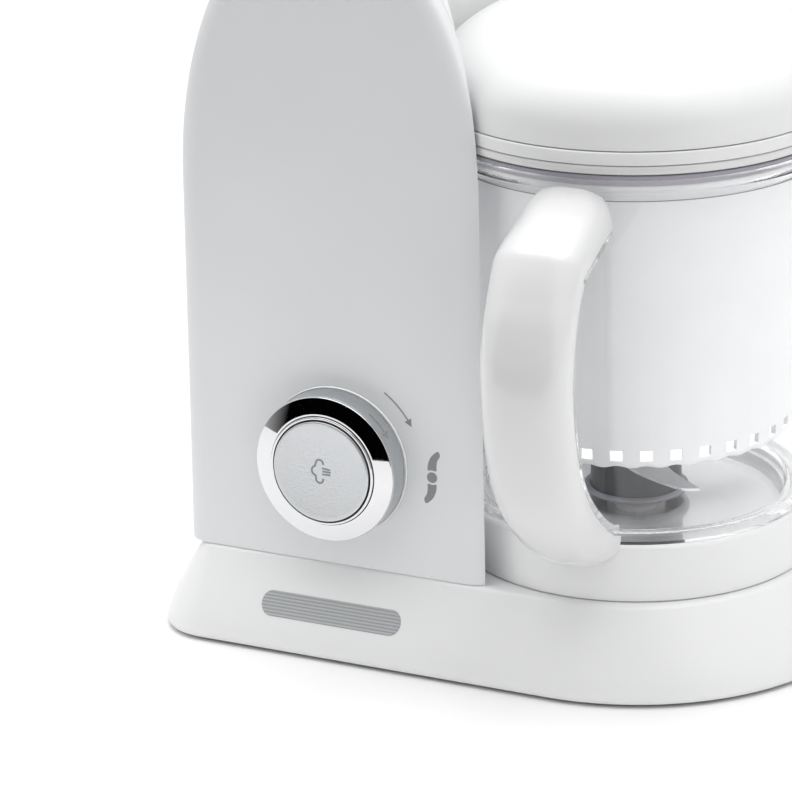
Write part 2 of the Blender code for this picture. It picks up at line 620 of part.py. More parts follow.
def make_basket(parent):
    basket = add_empty("basket_lift", (0, 0, 0), parent)
    profile = rounded([
        (0, BASKET_LOW + 1.7), (55.3, BASKET_LOW + 1.7, 2.0), (61.2, BASKET_HIGH),
        (JUG_RIM_RADIUS - 3.4, BASKET_HIGH), (JUG_RIM_RADIUS - 3.4, BASKET_HIGH - 1.6),
        (62.9, BASKET_HIGH - 1.6), (57.0, BASKET_LOW, 3.0), (0, BASKET_LOW)])
    shell = turned("steam_basket", profile, BASKET, basket, closed=False)
    slots = bmesh.new()
    for i in range(BASKET_SLOTS):
        angle = math.tau * i / BASKET_SLOTS
        window = bmesh.ops.create_cube(slots, size=MM)["verts"]
        bmesh.ops.scale(slots, vec=(8.0, 4.4, 3.8), verts=window)
        bmesh.ops.translate(slots, vec=(57.5 * MM, 0, (BASKET_LOW + 5.1) * MM), verts=window)
        bmesh.ops.rotate(slots, matrix=Matrix.Rotation(angle, 3, "Z"), verts=window)
    combine(shell, add_bmesh("basket_slots", slots, None, basket))
    drains = bmesh.new()
    for ring_radius, count in ((20, 6), (38, 10)):
        for i in range(count):
            angle = math.tau * i / count
            hole = bmesh.ops.create_cone(drains, cap_ends=True, segments=6, radius1=2.2 * MM,
                                         radius2=2.2 * MM, depth=6 * MM)["verts"]
            bmesh.ops.translate(drains, vec=(ring_radius * math.cos(angle) * MM,
                                             ring_radius * math.sin(angle) * MM,
                                             (BASKET_LOW + 0.8) * MM), verts=hole)
    combine(shell, add_bmesh("basket_drains", drains, None, basket))


def make_lid(parent):
    lid = add_empty("lid_lift", (0, 0, JUG_RIM), parent)
    low, flange, ring_low = 0.3, 2.2, 5.7          # heights above the jug rim
    groove = LID_GROOVE - JUG_RIM
    turned("lid_seal", [(64.6, flange - GAP), (71.0, flange - GAP), (70.6, low), (64.6, low)], SEAL_GREY, lid)
    liner = rounded([
        (0, groove), (67.9, groove, 1.5), (67.9, ring_low - GAP), (LID_RADIUS - 0.1, ring_low - GAP, 0.8),
        (LID_RADIUS - 0.1, flange, 1.2), (64.2, flange), (64.2, low - 1.0), (62.2, low - 1.0),
        (62.2, groove - 2.0), (0, groove - 2.0)], steps=2)
    cover = turned("lid_liner", liner, WHITE, lid, closed=False)
    for i in range(6):
        angle = math.tau * (i + 0.5) / 6
        vent = (30 * math.cos(angle), 30 * math.sin(angle), 0)
        drill(cover, 3.0, groove - 5, groove + 5, lid, vent, steps=8)

    top = LID_TOP - JUG_RIM
    shoulder = groove + 15.0
    outside = [(LID_RADIUS - 0.4) * math.cos(math.pi / 2 * (1 - i / 8)) for i in range(9)]
    rise = top - shoulder
    outer = [(r, shoulder + rise * math.sqrt(1 - (r / (LID_RADIUS - 0.4)) ** 2)) for r in outside]
    inner = [(max(r - WALL, 0), z - WALL) for r, z in reversed(outer)]
    dome = turned("lid_dome", outer + [(LID_RADIUS - 0.4, groove + 0.2), (LID_RADIUS - 0.4 - WALL, groove + 0.2)]
                  + inner[:-1] + [(0, inner[-1][1])], WHITE, lid, closed=False)
    drill(dome, 4.3, top - 10, top + 5, lid, (0, 0, 0))
    port = (*on_steam_axis(LID_RADIUS - 0.3)[:2], STEAM_Z - JUG_RIM)
    facing = (0, -math.pi / 2, STEAM_TURN)
    drill(dome, 6.0, -6, 4, lid, port, facing)
    turned("steam_inlet", [(3.4, 0), (5.6, 0), (5.6, -12), (3.4, -12)], RUBBER, lid, port, facing, SMALL)
    knob = rounded([(0, top + 15), (15.5, top + 15, 4.0), (12.0, top + 5), (13.0, top + 0.5), (4.0, top + 0.5),
                    (4.0, top - 7), (0, top - 7)])
    turned("lid_knob", knob, WHITE, lid, closed=False)

    lock = add_empty("lock_turn", (0, 0, 0), lid)
    turned("lid_lock_ring", [(69.0, groove - 0.1), (LID_RADIUS, groove - 0.1), (LID_RADIUS, ring_low),
                             (69.0, ring_low)], WHITE, lock)


# ---------------------------------------------------------------- assembly

def main():
    appliance = add_empty("appliance", (AXIS_X, AXIS_Y, 0))
    make_base(appliance)
    make_pedestal(appliance)
    make_tower(appliance)
    make_heater(appliance)
    make_cap(appliance)
    make_controls(appliance)
    make_drive(appliance)
    jug = add_empty("jug_lift", (0, 0, 0), appliance)
    make_jug(jug)
    make_handle(jug)
    make_blade(jug)
    make_basket(jug)
    make_lid(jug)


clear_scene()
PARTS = new_collection("baby_food_maker", False)
CUTTERS = new_collection("cutters", True)
WHITE = finish("white_abs", (0.86, 0.86, 0.86), 0.35)
PANEL = finish("panel_abs", (0.80, 0.81, 0.82), 0.4)
LIGHT_RING = finish("light_ring", (0.85, 0.87, 0.88), 0.3)
SILVER = finish("satin_silver", (0.62, 0.64, 0.66), 0.35, metallic=0.9)
CHROME = finish("chrome", (0.85, 0.85, 0.86), 0.05, metallic=1.0)
CLEAR = finish("clear_tritan", (0.95, 0.96, 0.97), 0.03, transmission=1.0)
BASKET = finish("frosted_basket", (0.92, 0.93, 0.93), 0.35, transmission=0.6)
HUB_GREY = finish("dark_grey_hub", (0.10, 0.105, 0.11), 0.5)
BLADE = finish("blade_steel", (0.72, 0.72, 0.73), 0.2, metallic=1.0)
STEEL = finish("steel", (0.60, 0.60, 0.61), 0.3, metallic=1.0)
CAST = finish("cast_aluminium", (0.55, 0.55, 0.56), 0.5, metallic=1.0)
RUBBER = finish("rubber", (0.35, 0.35, 0.36), 0.8)
SEAL_GREY = finish("seal_silicone", (0.42, 0.41, 0.45), 0.6)
DARK = finish("dark_nylon", (0.06, 0.06, 0.065), 0.5)
BOARD = finish("circuit_board", (0.04, 0.22, 0.10), 0.5)
main()
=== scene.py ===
"""Looks of a countertop baby food maker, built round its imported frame.

Shapes are laid out in millimetres around the jug's upright axis: X to the right along the
front, Y to the back, Z up from the table. Main sizes and places come from the frame's boxes.
"""
import math

import bmesh
import bpy
from mathutils import Matrix, Quaternion, Vector


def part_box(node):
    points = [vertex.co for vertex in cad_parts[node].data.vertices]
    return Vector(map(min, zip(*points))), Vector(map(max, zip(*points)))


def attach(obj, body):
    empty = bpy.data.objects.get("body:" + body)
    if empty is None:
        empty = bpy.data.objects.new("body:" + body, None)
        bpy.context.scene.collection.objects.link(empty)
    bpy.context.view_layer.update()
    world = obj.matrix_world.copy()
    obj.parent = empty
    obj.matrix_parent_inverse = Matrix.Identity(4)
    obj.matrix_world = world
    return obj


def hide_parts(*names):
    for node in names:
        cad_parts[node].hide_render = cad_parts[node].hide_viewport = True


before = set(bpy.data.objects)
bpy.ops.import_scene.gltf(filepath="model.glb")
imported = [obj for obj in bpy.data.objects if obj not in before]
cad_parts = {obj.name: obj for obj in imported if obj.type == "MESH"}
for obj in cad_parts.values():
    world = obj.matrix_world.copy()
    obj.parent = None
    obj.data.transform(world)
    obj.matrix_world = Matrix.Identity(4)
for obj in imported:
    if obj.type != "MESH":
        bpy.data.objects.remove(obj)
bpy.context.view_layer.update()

MM = 0.001
ROUND = 160                    # steps in a turn of a large piece
SMALL_ROUND = 72
WALL = 2.5                     # moulded shells
TOWER_HALF_FOOT, TOWER_HALF_SPRING = 60.1, 59.0    # half widths at the foot and where the arch starts


# ---------------------------------------------------------------- places read from the frame

def corners_of(node):
    low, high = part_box(node)
    return low / MM - JUG_AXIS, high / MM - JUG_AXIS


def middle_of(node):
    low, high = corners_of(node)
    return (low + high) / 2


def half_width_of(node, axis=0):
    low, high = corners_of(node)
    return (high[axis] - low[axis]) / 2


JUG_AXIS = Vector((0, 0, 0))    # so that the next line measures from the frame's own origin
JUG_AXIS = Vector((*middle_of("jug_pedestal").xy, 0))
DECK = corners_of("base_shell")[1].z
BASE_BOTTOM = corners_of("base_shell")[0].z
BASE_LEFT = -corners_of("base_shell")[0].x
BASE_RADIUS = half_width_of("base_shell", 1)
TOWER_X = corners_of("front_panel")[0].x + TOWER_HALF_FOOT
TOWER_FOOT = DECK + 0.05
ARCH_TOP = corners_of("front_panel")[1].z
FRONT_Y = corners_of("front_panel")[0].y
PANEL_BACK = corners_of("front_panel")[1].y
TOWER_BACK = corners_of("tower_shell")[1].y
PEDESTAL_RADIUS = half_width_of("jug_pedestal")
PEDESTAL_TOP = corners_of("jug_pedestal")[1].z
JUG_RIM = corners_of("jug_bowl")[1].z
JUG_RIM_RADIUS = half_width_of("jug_bowl")
JUG_FLOOR = corners_of("jug_bowl")[0].z
BASKET_LOW, BASKET_HIGH = corners_of("steam_basket")[0].z, corners_of("steam_basket")[1].z
HUB_LOW, HUB_TOP = corners_of("blade_hub")[0].z, corners_of("blade_hub")[1].z
LID_RADIUS = half_width_of("lid_lock_ring")
GROOVE = corners_of("lid_liner")[1].z
LID_TOP = corners_of("lid_dome")[1].z + 0.15
KNOB = Vector((middle_of("knob_body").x, FRONT_Y, middle_of("knob_body").z))
KNOB_RADIUS = half_width_of("knob_body")
BUTTON_RADIUS = half_width_of("steam_button")
BUTTON_FACE = FRONT_Y - corners_of("steam_button")[0].y
CAP_AXIS = Vector((*middle_of("cap_plug").xy, 0))
CAP_FLOOR = corners_of("cap_seal")[0].z - 0.3

# Sizes that only the shapes between the boxes' sides need
BASE_CORNER = 21.0
BASE_LIP = 3.6
FLARE = 14.4
ARCH_SPRING = 171.0
PANEL_EDGE, PANEL_ROLL = 3.5, 7.5    # depth and width of the front's rounded edge
BACK_EDGE = 12.0
SCOOP_RADIUS = 72.9
CAP_RECESS = 19.5
STEAM_TURN = math.radians(35.0)
STEAM_Z = 207.0
JUG_RADIUS_LOW, JUG_RADIUS_HIGH = 65.4, 68.2
JUG_SHOULDER = 181.9
JUG_FOOT = PEDESTAL_TOP + 0.3
HANDLE_TURN = math.radians(4.3)
HANDLE_HALF_WIDTH = 16.0
HANDLE_CROWN = 12.0            # depth of the cover's round back
HANDLE_TIP = 25.0              # the cover's lower end is rounded off over this length
HANDLE_TONGUE = 15.0           # and its upper end, at the jug's rim, over this one
FILL_HEIGHT = 132.0            # a lamp in the jug's middle, for the narrow space beside the tower
HANDLE_PATH = [                # distance from the jug axis, height: the line along the cover's crown
    (66.0, 188.0), (76.0, 185.4), (91.0, 181.1), (102.0, 177.9), (108.0, 175.3), (112.0, 170.6),
    (117.4, 161.5), (122.3, 151.0), (125.9, 135.0), (124.5, 115.0), (120.0, 98.0), (115.0, 86.5),
    (106.0, 74.0), (92.0, 61.0), (75.0, 50.0), (54.0, 43.5),
]


# ---------------------------------------------------------------- materials

def shader_of(name):
    material = bpy.data.materials.new(name)
    material.use_nodes = True
    tree = material.node_tree
    return material, tree, tree.nodes["Principled BSDF"]


def link_noise(tree, scale, detail, stretch=(1, 1, 1)):
    place = tree.nodes.new("ShaderNodeTexCoord")
    mapping = tree.nodes.new("ShaderNodeMapping")
    mapping.inputs["Scale"].default_value = stretch
    noise = tree.nodes.new("ShaderNodeTexNoise")
    noise.inputs["Scale"].default_value = scale
    noise.inputs["Detail"].default_value = detail
    tree.links.new(place.outputs["Object"], mapping.inputs["Vector"])
    tree.links.new(mapping.outputs["Vector"], noise.inputs["Vector"])
    return noise.outputs["Fac"]


def link_range(tree, value, low, high, start=0.3, end=0.7):
    spread = tree.nodes.new("ShaderNodeMapRange")
    spread.inputs["From Min"].default_value = start
    spread.inputs["From Max"].default_value = end
    spread.inputs["To Min"].default_value = low
    spread.inputs["To Max"].default_value = high
    tree.links.new(value, spread.inputs["Value"])
    return spread.outputs["Result"]


def link_blend(tree, share, first, second, target):
    """Mixes two colours by share and feeds the result to the target socket."""
    mix = tree.nodes.new("ShaderNodeMix")
    mix.data_type = "RGBA"
    mix.inputs[6].default_value = (*first, 1)
    mix.inputs[7].default_value = (*second, 1)
    tree.links.new(share, mix.inputs[0])
    tree.links.new(mix.outputs[2], target)


def link_math(tree, operation, first, second):
    node = tree.nodes.new("ShaderNodeMath")
    node.operation = operation
    for socket, value in zip(node.inputs, (first, second)):
        if isinstance(value, (int, float)):
            socket.default_value = value
        else:
            tree.links.new(value, socket)
    return node.outputs["Value"]


def link_bump(tree, shader, height, strength, distance):
    bump = tree.nodes.new("ShaderNodeBump")
    bump.inputs["Strength"].default_value = strength
    bump.inputs["Distance"].default_value = distance
    tree.links.new(height, bump.inputs["Height"])
    tree.links.new(bump.outputs["Normal"], shader.inputs["Normal"])


def moulded(name, colour, shade=0.97, roughness=0.4, spread=0.05, grain=900.0, bump=0.06, **constants):
    """Moulded plastic or rubber: a faint drift of colour, uneven gloss and a fine moulding grain."""
    material, tree, shader = shader_of(name)
    drift = link_noise(tree, 14.0, 2.0)
    darker = tuple(c * shade for c in colour)
    link_blend(tree, link_range(tree, drift, 0, 1), colour, darker, shader.inputs["Base Color"])
    fine = link_noise(tree, grain, 4.0)
    gloss = link_range(tree, fine, roughness - spread, roughness + spread)
    tree.links.new(gloss, shader.inputs["Roughness"])
    link_bump(tree, shader, fine, bump, 0.0003)
    for socket, value in constants.items():
        shader.inputs[socket.replace("_", " ")].default_value = value
    return material


def metal(name, colour, shade, roughness, spread, grain, stretch=(1, 1, 1), bump=0.05):
    """Metal or metallised plastic, with its grain drawn out along one way where stretch says."""
    material, tree, shader = shader_of(name)
    fine = link_noise(tree, grain, 4.0, stretch)
    darker = tuple(c * shade for c in colour)
    link_blend(tree, link_range(tree, fine, 0, 1), colour, darker, shader.inputs["Base Color"])
    tree.links.new(link_range(tree, fine, roughness, roughness + spread), shader.inputs["Roughness"])
    link_bump(tree, shader, fine, bump, 0.0002)
    shader.inputs["Metallic"].default_value = 1.0
    return material


def clear(name, colour, roughness, transmission, bump, grain, passed, **constants):
    """Clear or frosted plastic with the slight waviness of a moulded wall.

    For lamps and for soft light the wall is simply open, tinted by passed.
    """
    material, tree, shader = shader_of(name)
    wave = link_noise(tree, grain, 2.0)
    tint = tuple(c * 0.985 for c in colour)
    link_blend(tree, link_range(tree, wave, 0, 1), colour, tint, shader.inputs["Base Color"])
    tree.links.new(link_range(tree, wave, roughness, roughness * 1.6 + 0.004), shader.inputs["Roughness"])
    link_bump(tree, shader, wave, bump, 0.0004)
    shader.inputs["Transmission Weight"].default_value = transmission
    for socket, value in constants.items():
        shader.inputs[socket.replace("_", " ")].default_value = value
    path = tree.nodes.new("ShaderNodeLightPath")
    either = link_math(tree, "MAXIMUM", path.outputs["Is Shadow Ray"], path.outputs["Is Diffuse Ray"])
    open_wall = tree.nodes.new("ShaderNodeBsdfTransparent")
    open_wall.inputs["Color"].default_value = (*passed, 1)
    mix = tree.nodes.new("ShaderNodeMixShader")
    tree.links.new(either, mix.inputs["Fac"])
    tree.links.new(shader.outputs["BSDF"], mix.inputs[1])
    tree.links.new(open_wall.outputs["BSDF"], mix.inputs[2])
    tree.links.new(mix.outputs["Shader"], tree.nodes["Material Output"].inputs["Surface"])
    return material


def lined(name, colour, groove, pitch):
    """A matt inlay crossed by fine level lines."""
    material, tree, shader = shader_of(name)
    place = tree.nodes.new("ShaderNodeTexCoord")
    wave = tree.nodes.new("ShaderNodeTexWave")
    wave.bands_direction = "Z"
    wave.inputs["Scale"].default_value = math.pi / 10 / pitch
    wave.inputs["Distortion"].default_value = 0.0
    tree.links.new(place.outputs["Object"], wave.inputs["Vector"])
    link_blend(tree, wave.outputs["Fac"], groove, colour, shader.inputs["Base Color"])
    link_bump(tree, shader, wave.outputs["Fac"], 0.4, 0.0003)
    shader.inputs["Roughness"].default_value = 0.5
    return material


WHITE = moulded("white_abs", (0.80, 0.803, 0.806), roughness=0.33, bump=0.03, Coat_Weight=0.25,
                Coat_Roughness=0.12)
# Painted shade: a darker copy of the white plastic, with a full gloss coat, for the handle cover and the
# lid's liner
SHADED_GLOSS_WHITE = moulded("white_gloss_abs_shaded", (0.715, 0.715, 0.718), roughness=0.3, spread=0.02, bump=0.006,
                       Coat_Weight=1.0, Coat_Roughness=0.18)
PANEL = moulded("panel_abs", (0.76, 0.772, 0.785), roughness=0.36, bump=0.04, Coat_Weight=0.15,
                Coat_Roughness=0.2)
LIGHT_RING = moulded("light_ring", (0.90, 0.91, 0.915), shade=0.99, roughness=0.25, spread=0.02, bump=0.01)
SILVER = metal("satin_silver", (0.64, 0.655, 0.67), 0.96, 0.3, 0.05, 1700.0, bump=0.45)
KNOB_SIDE = metal("satin_silver_side", (0.60, 0.62, 0.635), 0.96, 0.34, 0.05, 1400.0, bump=0.05)
CHROME = metal("chrome", (0.74, 0.74, 0.75), 0.985, 0.03, 0.02, 300.0, bump=0.01)
CLEAR = clear("clear_tritan", (0.985, 0.99, 0.992), 0.01, 1.0, 0.05, 60.0, (0.98, 0.982, 0.985), IOR=1.22,
              Coat_Weight=0.7, Coat_Roughness=0.02)
BASKET = clear("frosted_basket", (0.95, 0.955, 0.96), 0.3, 0.06, 0.05, 500.0, (0.8, 0.8, 0.8), IOR=1.45)
HUB_GREY = moulded("dark_grey_hub", (0.055, 0.057, 0.066), roughness=0.4)
BLADE = metal("blade_steel", (0.74, 0.74, 0.75), 0.92, 0.18, 0.1, 700.0, stretch=(1, 8, 1))
STEEL = metal("steel", (0.62, 0.62, 0.63), 0.9, 0.28, 0.1, 600.0, stretch=(1, 1, 6))
CAST = metal("cast_aluminium", (0.55, 0.55, 0.56), 0.85, 0.5, 0.15, 900.0, bump=0.3)
RUBBER = moulded("rubber", (0.32, 0.32, 0.33), shade=0.9, roughness=0.75, bump=0.15)
SEAL_GREY = moulded("seal_silicone", (0.34, 0.325, 0.38), shade=0.93, roughness=0.45)
# Dark nylon for the inner parts; also used as painted shade on the dial's gap walls
DARK_NYLON_AND_GAP_SHADE = moulded("dark_nylon", (0.055, 0.055, 0.06), shade=0.85, roughness=0.5, bump=0.12)
BOARD = moulded("circuit_board", (0.03, 0.19, 0.09), shade=0.7, roughness=0.45)
# Grey for the printed marks; also used as the painted shade line round the jug
PRINT_AND_SHADE = moulded("print_and_shade_grey", (0.26, 0.27, 0.28), shade=0.94, roughness=0.5)
INLAY = lined("grey_inlay", (0.45, 0.46, 0.47), (0.30, 0.31, 0.32), 0.0011)


# ---------------------------------------------------------------- outlines

def arc(centre_x, centre_y, radius, start, end, steps):
    """Points of an arc, angles in degrees, both ends included."""
    angles = [math.radians(start + (end - start) * i / steps) for i in range(steps + 1)]
    return [(centre_x + radius * math.cos(a), centre_y + radius * math.sin(a)) for a in angles]


def rounded(corners, steps=6):
    """A closed outline of (x, y) corners, where a third value rounds the corner to that radius."""
    outline = []
    for i, corner in enumerate(corners):
        point = Vector(corner[:2])
        if len(corner) == 2:
            outline.append(tuple(point))
            continue
        back = (Vector(corners[i - 1][:2]) - point).normalized()
        ahead = (Vector(corners[(i + 1) % len(corners)][:2]) - point).normalized()
        half = back.angle(ahead) / 2
        centre = point + (back + ahead).normalized() * corner[2] / math.sin(half)
        first = point + back * corner[2] / math.tan(half) - centre
        sweep = math.copysign(math.pi - 2 * half, ahead.cross(back))
        for k in range(steps + 1):
            outline.append(tuple(centre + Matrix.Rotation(sweep * k / steps, 2) @ first))
    return outline


def smooth_path(points, per_span):
    """Points of a Catmull-Rom curve through the given points."""
    knots = [Vector(p) for p in points]
    ends = [2 * knots[0] - knots[1]] + knots + [2 * knots[-1] - knots[-2]]
    path = []
    for a, b, c, d in zip(ends, ends[1:], ends[2:], ends[3:]):
        for k in range(per_span):
            t = k / per_span
            path.append(0.5 * (2 * b + (c - a) * t + (2 * a - 5 * b + 4 * c - d) * t ** 2
                               + (3 * b - a - 3 * c + d) * t ** 3))
    return path + [knots[-1]]


# ---------------------------------------------------------------- meshes

def settle(name, bm, material, place=None, sharp=34.0):
    """Makes the object from a mesh laid out in millimetres, moved to its place in the frame."""
    if place:
        bm.transform(place)
    bm.transform(Matrix.Scale(MM, 4) @ Matrix.Translation(JUG_AXIS))
    bmesh.ops.recalc_face_normals(bm, faces=bm.faces)
    mesh = bpy.data.meshes.new(name)
    bm.to_mesh(mesh)
    bm.free()
    mesh.shade_smooth()
    mesh.set_sharp_from_angle(angle=math.radians(sharp))
    obj = bpy.data.objects.new(name, mesh)
    if material:
        mesh.materials.append(material)
    bpy.context.scene.collection.objects.link(obj)
    return obj


def stand_in(obj, body, slot, *nodes):
    """The finished piece takes the place of its CAD nodes on their body."""
    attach(obj, body)
    if nodes:
        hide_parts(*nodes)
    return obj


def skin(bm, rows, closed_rows=False):
    """Quads between rings of points. A ring of one point is a pole."""
    rings = [[bm.verts.new(p) for p in row] for row in rows]
    pairs = list(zip(rings, rings[1:]))
    if closed_rows:
        pairs.append((rings[-1], rings[0]))
    for low, high in pairs:
        count = max(len(low), len(high))
        for i in range(count):
            j = (i + 1) % count
            corners = [low[i % len(low)], low[j % len(low)], high[j % len(high)], high[i % len(high)]]
            corners = list(dict.fromkeys(corners))
            if len(corners) > 2:
                bm.faces.new(corners)
    return rings


def turned_mesh(profile, closed=True, steps=ROUND):
    """A mesh turned about Z from a (radius, height) profile."""
    bm = bmesh.new()
    angles = [math.tau * i / steps for i in range(steps)]
    rows = [[(r * math.cos(a), r * math.sin(a), z) for a in angles] if r > 1e-6 else [(0, 0, z)]
            for r, z in profile]
    skin(bm, rows, closed_rows=closed)
    return bm


def lofted_mesh(rings):
    """A closed mesh through rings of points, flat at both ends."""
    bm = bmesh.new()
    loops = skin(bm, rings)
    bm.faces.new(loops[0][::-1])
    bm.faces.new(loops[-1])
    return bm


def plate_mesh(outline, low, high):
    """A flat plate with the outline's (x, y) points, between two heights."""
    return lofted_mesh([[(x, y, z) for x, y in outline] for z in (low, high)])


def box_mesh(size, place, bevel=0.0):
    bm = bmesh.new()
    bmesh.ops.create_cube(bm, size=1)
    bmesh.ops.scale(bm, vec=size, verts=bm.verts)
    if bevel:
        bmesh.ops.bevel(bm, geom=bm.edges[:] + bm.verts[:], offset=bevel, segments=8, profile=0.5,
                        affect="EDGES")
    bmesh.ops.translate(bm, vec=place, verts=bm.verts)
    return bm


def cut(obj, tools, operation="DIFFERENCE", sharp=34.0):
    """Applies Boolean cuts to the object, removes the tools and shades the result again."""
    for tool in tools:
        boolean = obj.modifiers.new("cut", "BOOLEAN")
        boolean.operation = operation
        boolean.object = tool
    bpy.context.view_layer.update()
    shape = obj.evaluated_get(bpy.context.evaluated_depsgraph_get())
    mesh = bpy.data.meshes.new_from_object(shape)
    obj.modifiers.clear()
    old = obj.data
    obj.data = mesh
    bpy.data.meshes.remove(old)
    for tool in tools:
        bpy.data.objects.remove(tool)
    mesh.shade_smooth()
    mesh.set_sharp_from_angle(angle=math.radians(sharp))
    return obj


def drum(radius, low, high, place=None, steps=ROUND):
    """A cylinder for cutting."""
    return settle("tool", turned_mesh([(0, high), (radius, high), (radius, low), (0, low)], False, steps),
                  None, place)


def facing_front(point, turn=0.0):
    """Places a piece turned about Z so that its axis comes out of the tower's front."""
    return Matrix.Translation(point) @ Matrix.Rotation(math.pi / 2, 4, "X") @ Matrix.Rotation(turn, 4, "Z")


# ---------------------------------------------------------------- base

def base_outline(inset):
    radius, corner = BASE_RADIUS - inset, BASE_CORNER - inset
    corner_x, corner_y = BASE_CORNER - BASE_LEFT, BASE_RADIUS - BASE_CORNER
    return (arc(0, 0, radius, -90, 90, 96) + arc(corner_x, corner_y, corner, 90, 180, 16)
            + arc(corner_x, -corner_y, corner, 180, 270, 16))


def slope(height):
    return FLARE * ((height - BASE_LIP) / (DECK - BASE_LIP)) ** 1.3


def base_side():
    """(height, inset) up the base's outer side: the lip, the slope and the deck's rounded edge."""
    edge = 1.6
    foot = [(BASE_BOTTOM, 1.0), (BASE_BOTTOM + 0.3, 0.35), (BASE_BOTTOM + 1.0, 0.0), (BASE_LIP - 0.2, 0.0),
            (BASE_LIP, 0.12)]
    heights = [BASE_LIP + 0.3 + (DECK - edge - BASE_LIP - 0.3) * i / 20 for i in range(21)]
    side = [(h, slope(h) + 0.12) for h in heights]
    last = side[-1][1]
    rounding = [(DECK - edge * (1 - math.sin(a)), last + 0.5 * edge * math.sin(a) + edge * (1 - math.cos(a)))
                for a in (math.pi / 2 * i / 6 for i in range(1, 7))]
    return foot + side + rounding


def make_base():
    outer = [[(x, y, z) for x, y in base_outline(inset)] for z, inset in base_side()]
    inner = [[(x, y, z) for x, y in base_outline(inset + WALL)]
             for z, inset in ((BASE_BOTTOM, 0.0), (BASE_LIP, 0.0), (18, slope(18)), (DECK - WALL, FLARE))]
    shell = settle("base_casing", lofted_mesh(inner[::-1] + outer), WHITE)
    stand_in(shell, "root", "white_abs", "base_shell")
    pad = rounded([(0, 3.1), (8.5, 3.1), (8.5, 0, 1.2), (6.5, 0, 0.4), (6.2, 0.5, 0.3), (4.0, 0.5, 0.3),
                   (3.7, 0, 0.4), (0, 0)])
    for label in ("front_left", "front_right", "rear_left", "rear_right"):
        node = "foot_" + label
        foot = settle("pad_" + label, turned_mesh(pad, False, SMALL_ROUND), RUBBER,
                      Matrix.Translation((*middle_of(node).xy, 0)))
        stand_in(foot, "root", "rubber", node)
    profile = rounded([
        (57.5, PEDESTAL_TOP, 1.0), (PEDESTAL_RADIUS, PEDESTAL_TOP, 1.8), (PEDESTAL_RADIUS, TOWER_FOOT + 0.6),
        (PEDESTAL_RADIUS - 0.8, TOWER_FOOT), (PEDESTAL_RADIUS - WALL, TOWER_FOOT),
        (PEDESTAL_RADIUS - WALL, PEDESTAL_TOP - WALL), (55.2, PEDESTAL_TOP - WALL), (55.2, 43.2),
        (19.4, 43.2), (19.4, 35.0), (9.0, 35.0), (9.0, 37.0), (17.0, 37.0, 1.0), (17.0, 45.4, 1.0),
        (57.5, 45.4, 1.5)])
    stand_in(settle("jug_seat", turned_mesh(profile, steps=192), WHITE), "root", "white_abs", "jug_pedestal")


def make_inlay():
    """A plain ruled bar let into the base's front, in a generic stadium shape."""
    half_length, half_height, middle_x, middle_z = 28.0, 4.2, -87.0, 17.4
    turn = (arc(half_length - half_height, 0, half_height, -90, 90, 24)
            + arc(half_height - half_length, 0, half_height, 90, 270, 24))
    front, back = [], []
    for x, z in turn:
        height = middle_z + z
        y = -BASE_RADIUS + slope(height) + 0.12
        front.append((middle_x + x, y - 0.12, height))
        back.append((middle_x + x, y + 0.6, height))
    bar = settle("base_inlay", lofted_mesh([back, front]), INLAY)
    stand_in(bar, "root", "white_abs")


# ---------------------------------------------------------------- tower

def arch_outline(inset, foot):
    half_foot, half_spring = TOWER_HALF_FOOT - inset, TOWER_HALF_SPRING - inset
    rise = ARCH_TOP - ARCH_SPRING - inset
    corner = 1.2
    left = arc(TOWER_X - half_foot + corner, foot + corner, corner, 270, 180, 8)
    right = arc(TOWER_X + half_foot - corner, foot + corner, corner, 0, -90, 8)
    crown = [(TOWER_X + half_spring * math.cos(a), ARCH_SPRING + rise * math.sin(a))
             for a in (math.pi * (1 - i / 96) for i in range(97))]
    return left + crown + right


def arch_rings(section):
    return [[(x, y, z) for x, z in arch_outline(inset, foot)] for y, inset, foot in section]


def round_edge(y, radius, way, inset=0.0, foot=TOWER_FOOT, steps=10, wide=None):
    """Stations of a rounded edge that ends a tower section at y, quarter round or wider across the face."""
    stations = []
    for i in range(steps + 1):
        angle = math.pi / 2 * i / steps
        step_in = (wide or radius) * (1 - math.cos(angle))
        stations.append((y - way * radius * (1 - math.sin(angle)), inset + step_in, foot))
    return stations


def tower_hollow(stations):
    space = settle("space", lofted_mesh(arch_rings(stations)), None)
    return cut(space, [drum(SCOOP_RADIUS + WALL, -20, 320, steps=256)])


def on_steam_axis(distance):
    return Vector((-distance * math.cos(STEAM_TURN), -distance * math.sin(STEAM_TURN), STEAM_Z))


def steam_facing(distance, way):
    """Places a piece on the steam outlet's line, its axis pointing to the jug (1) or away (-1)."""
    return (Matrix.Translation(on_steam_axis(distance)) @ Matrix.Rotation(STEAM_TURN, 4, "Z")
            @ Matrix.Rotation(way * math.pi / 2, 4, "Y"))


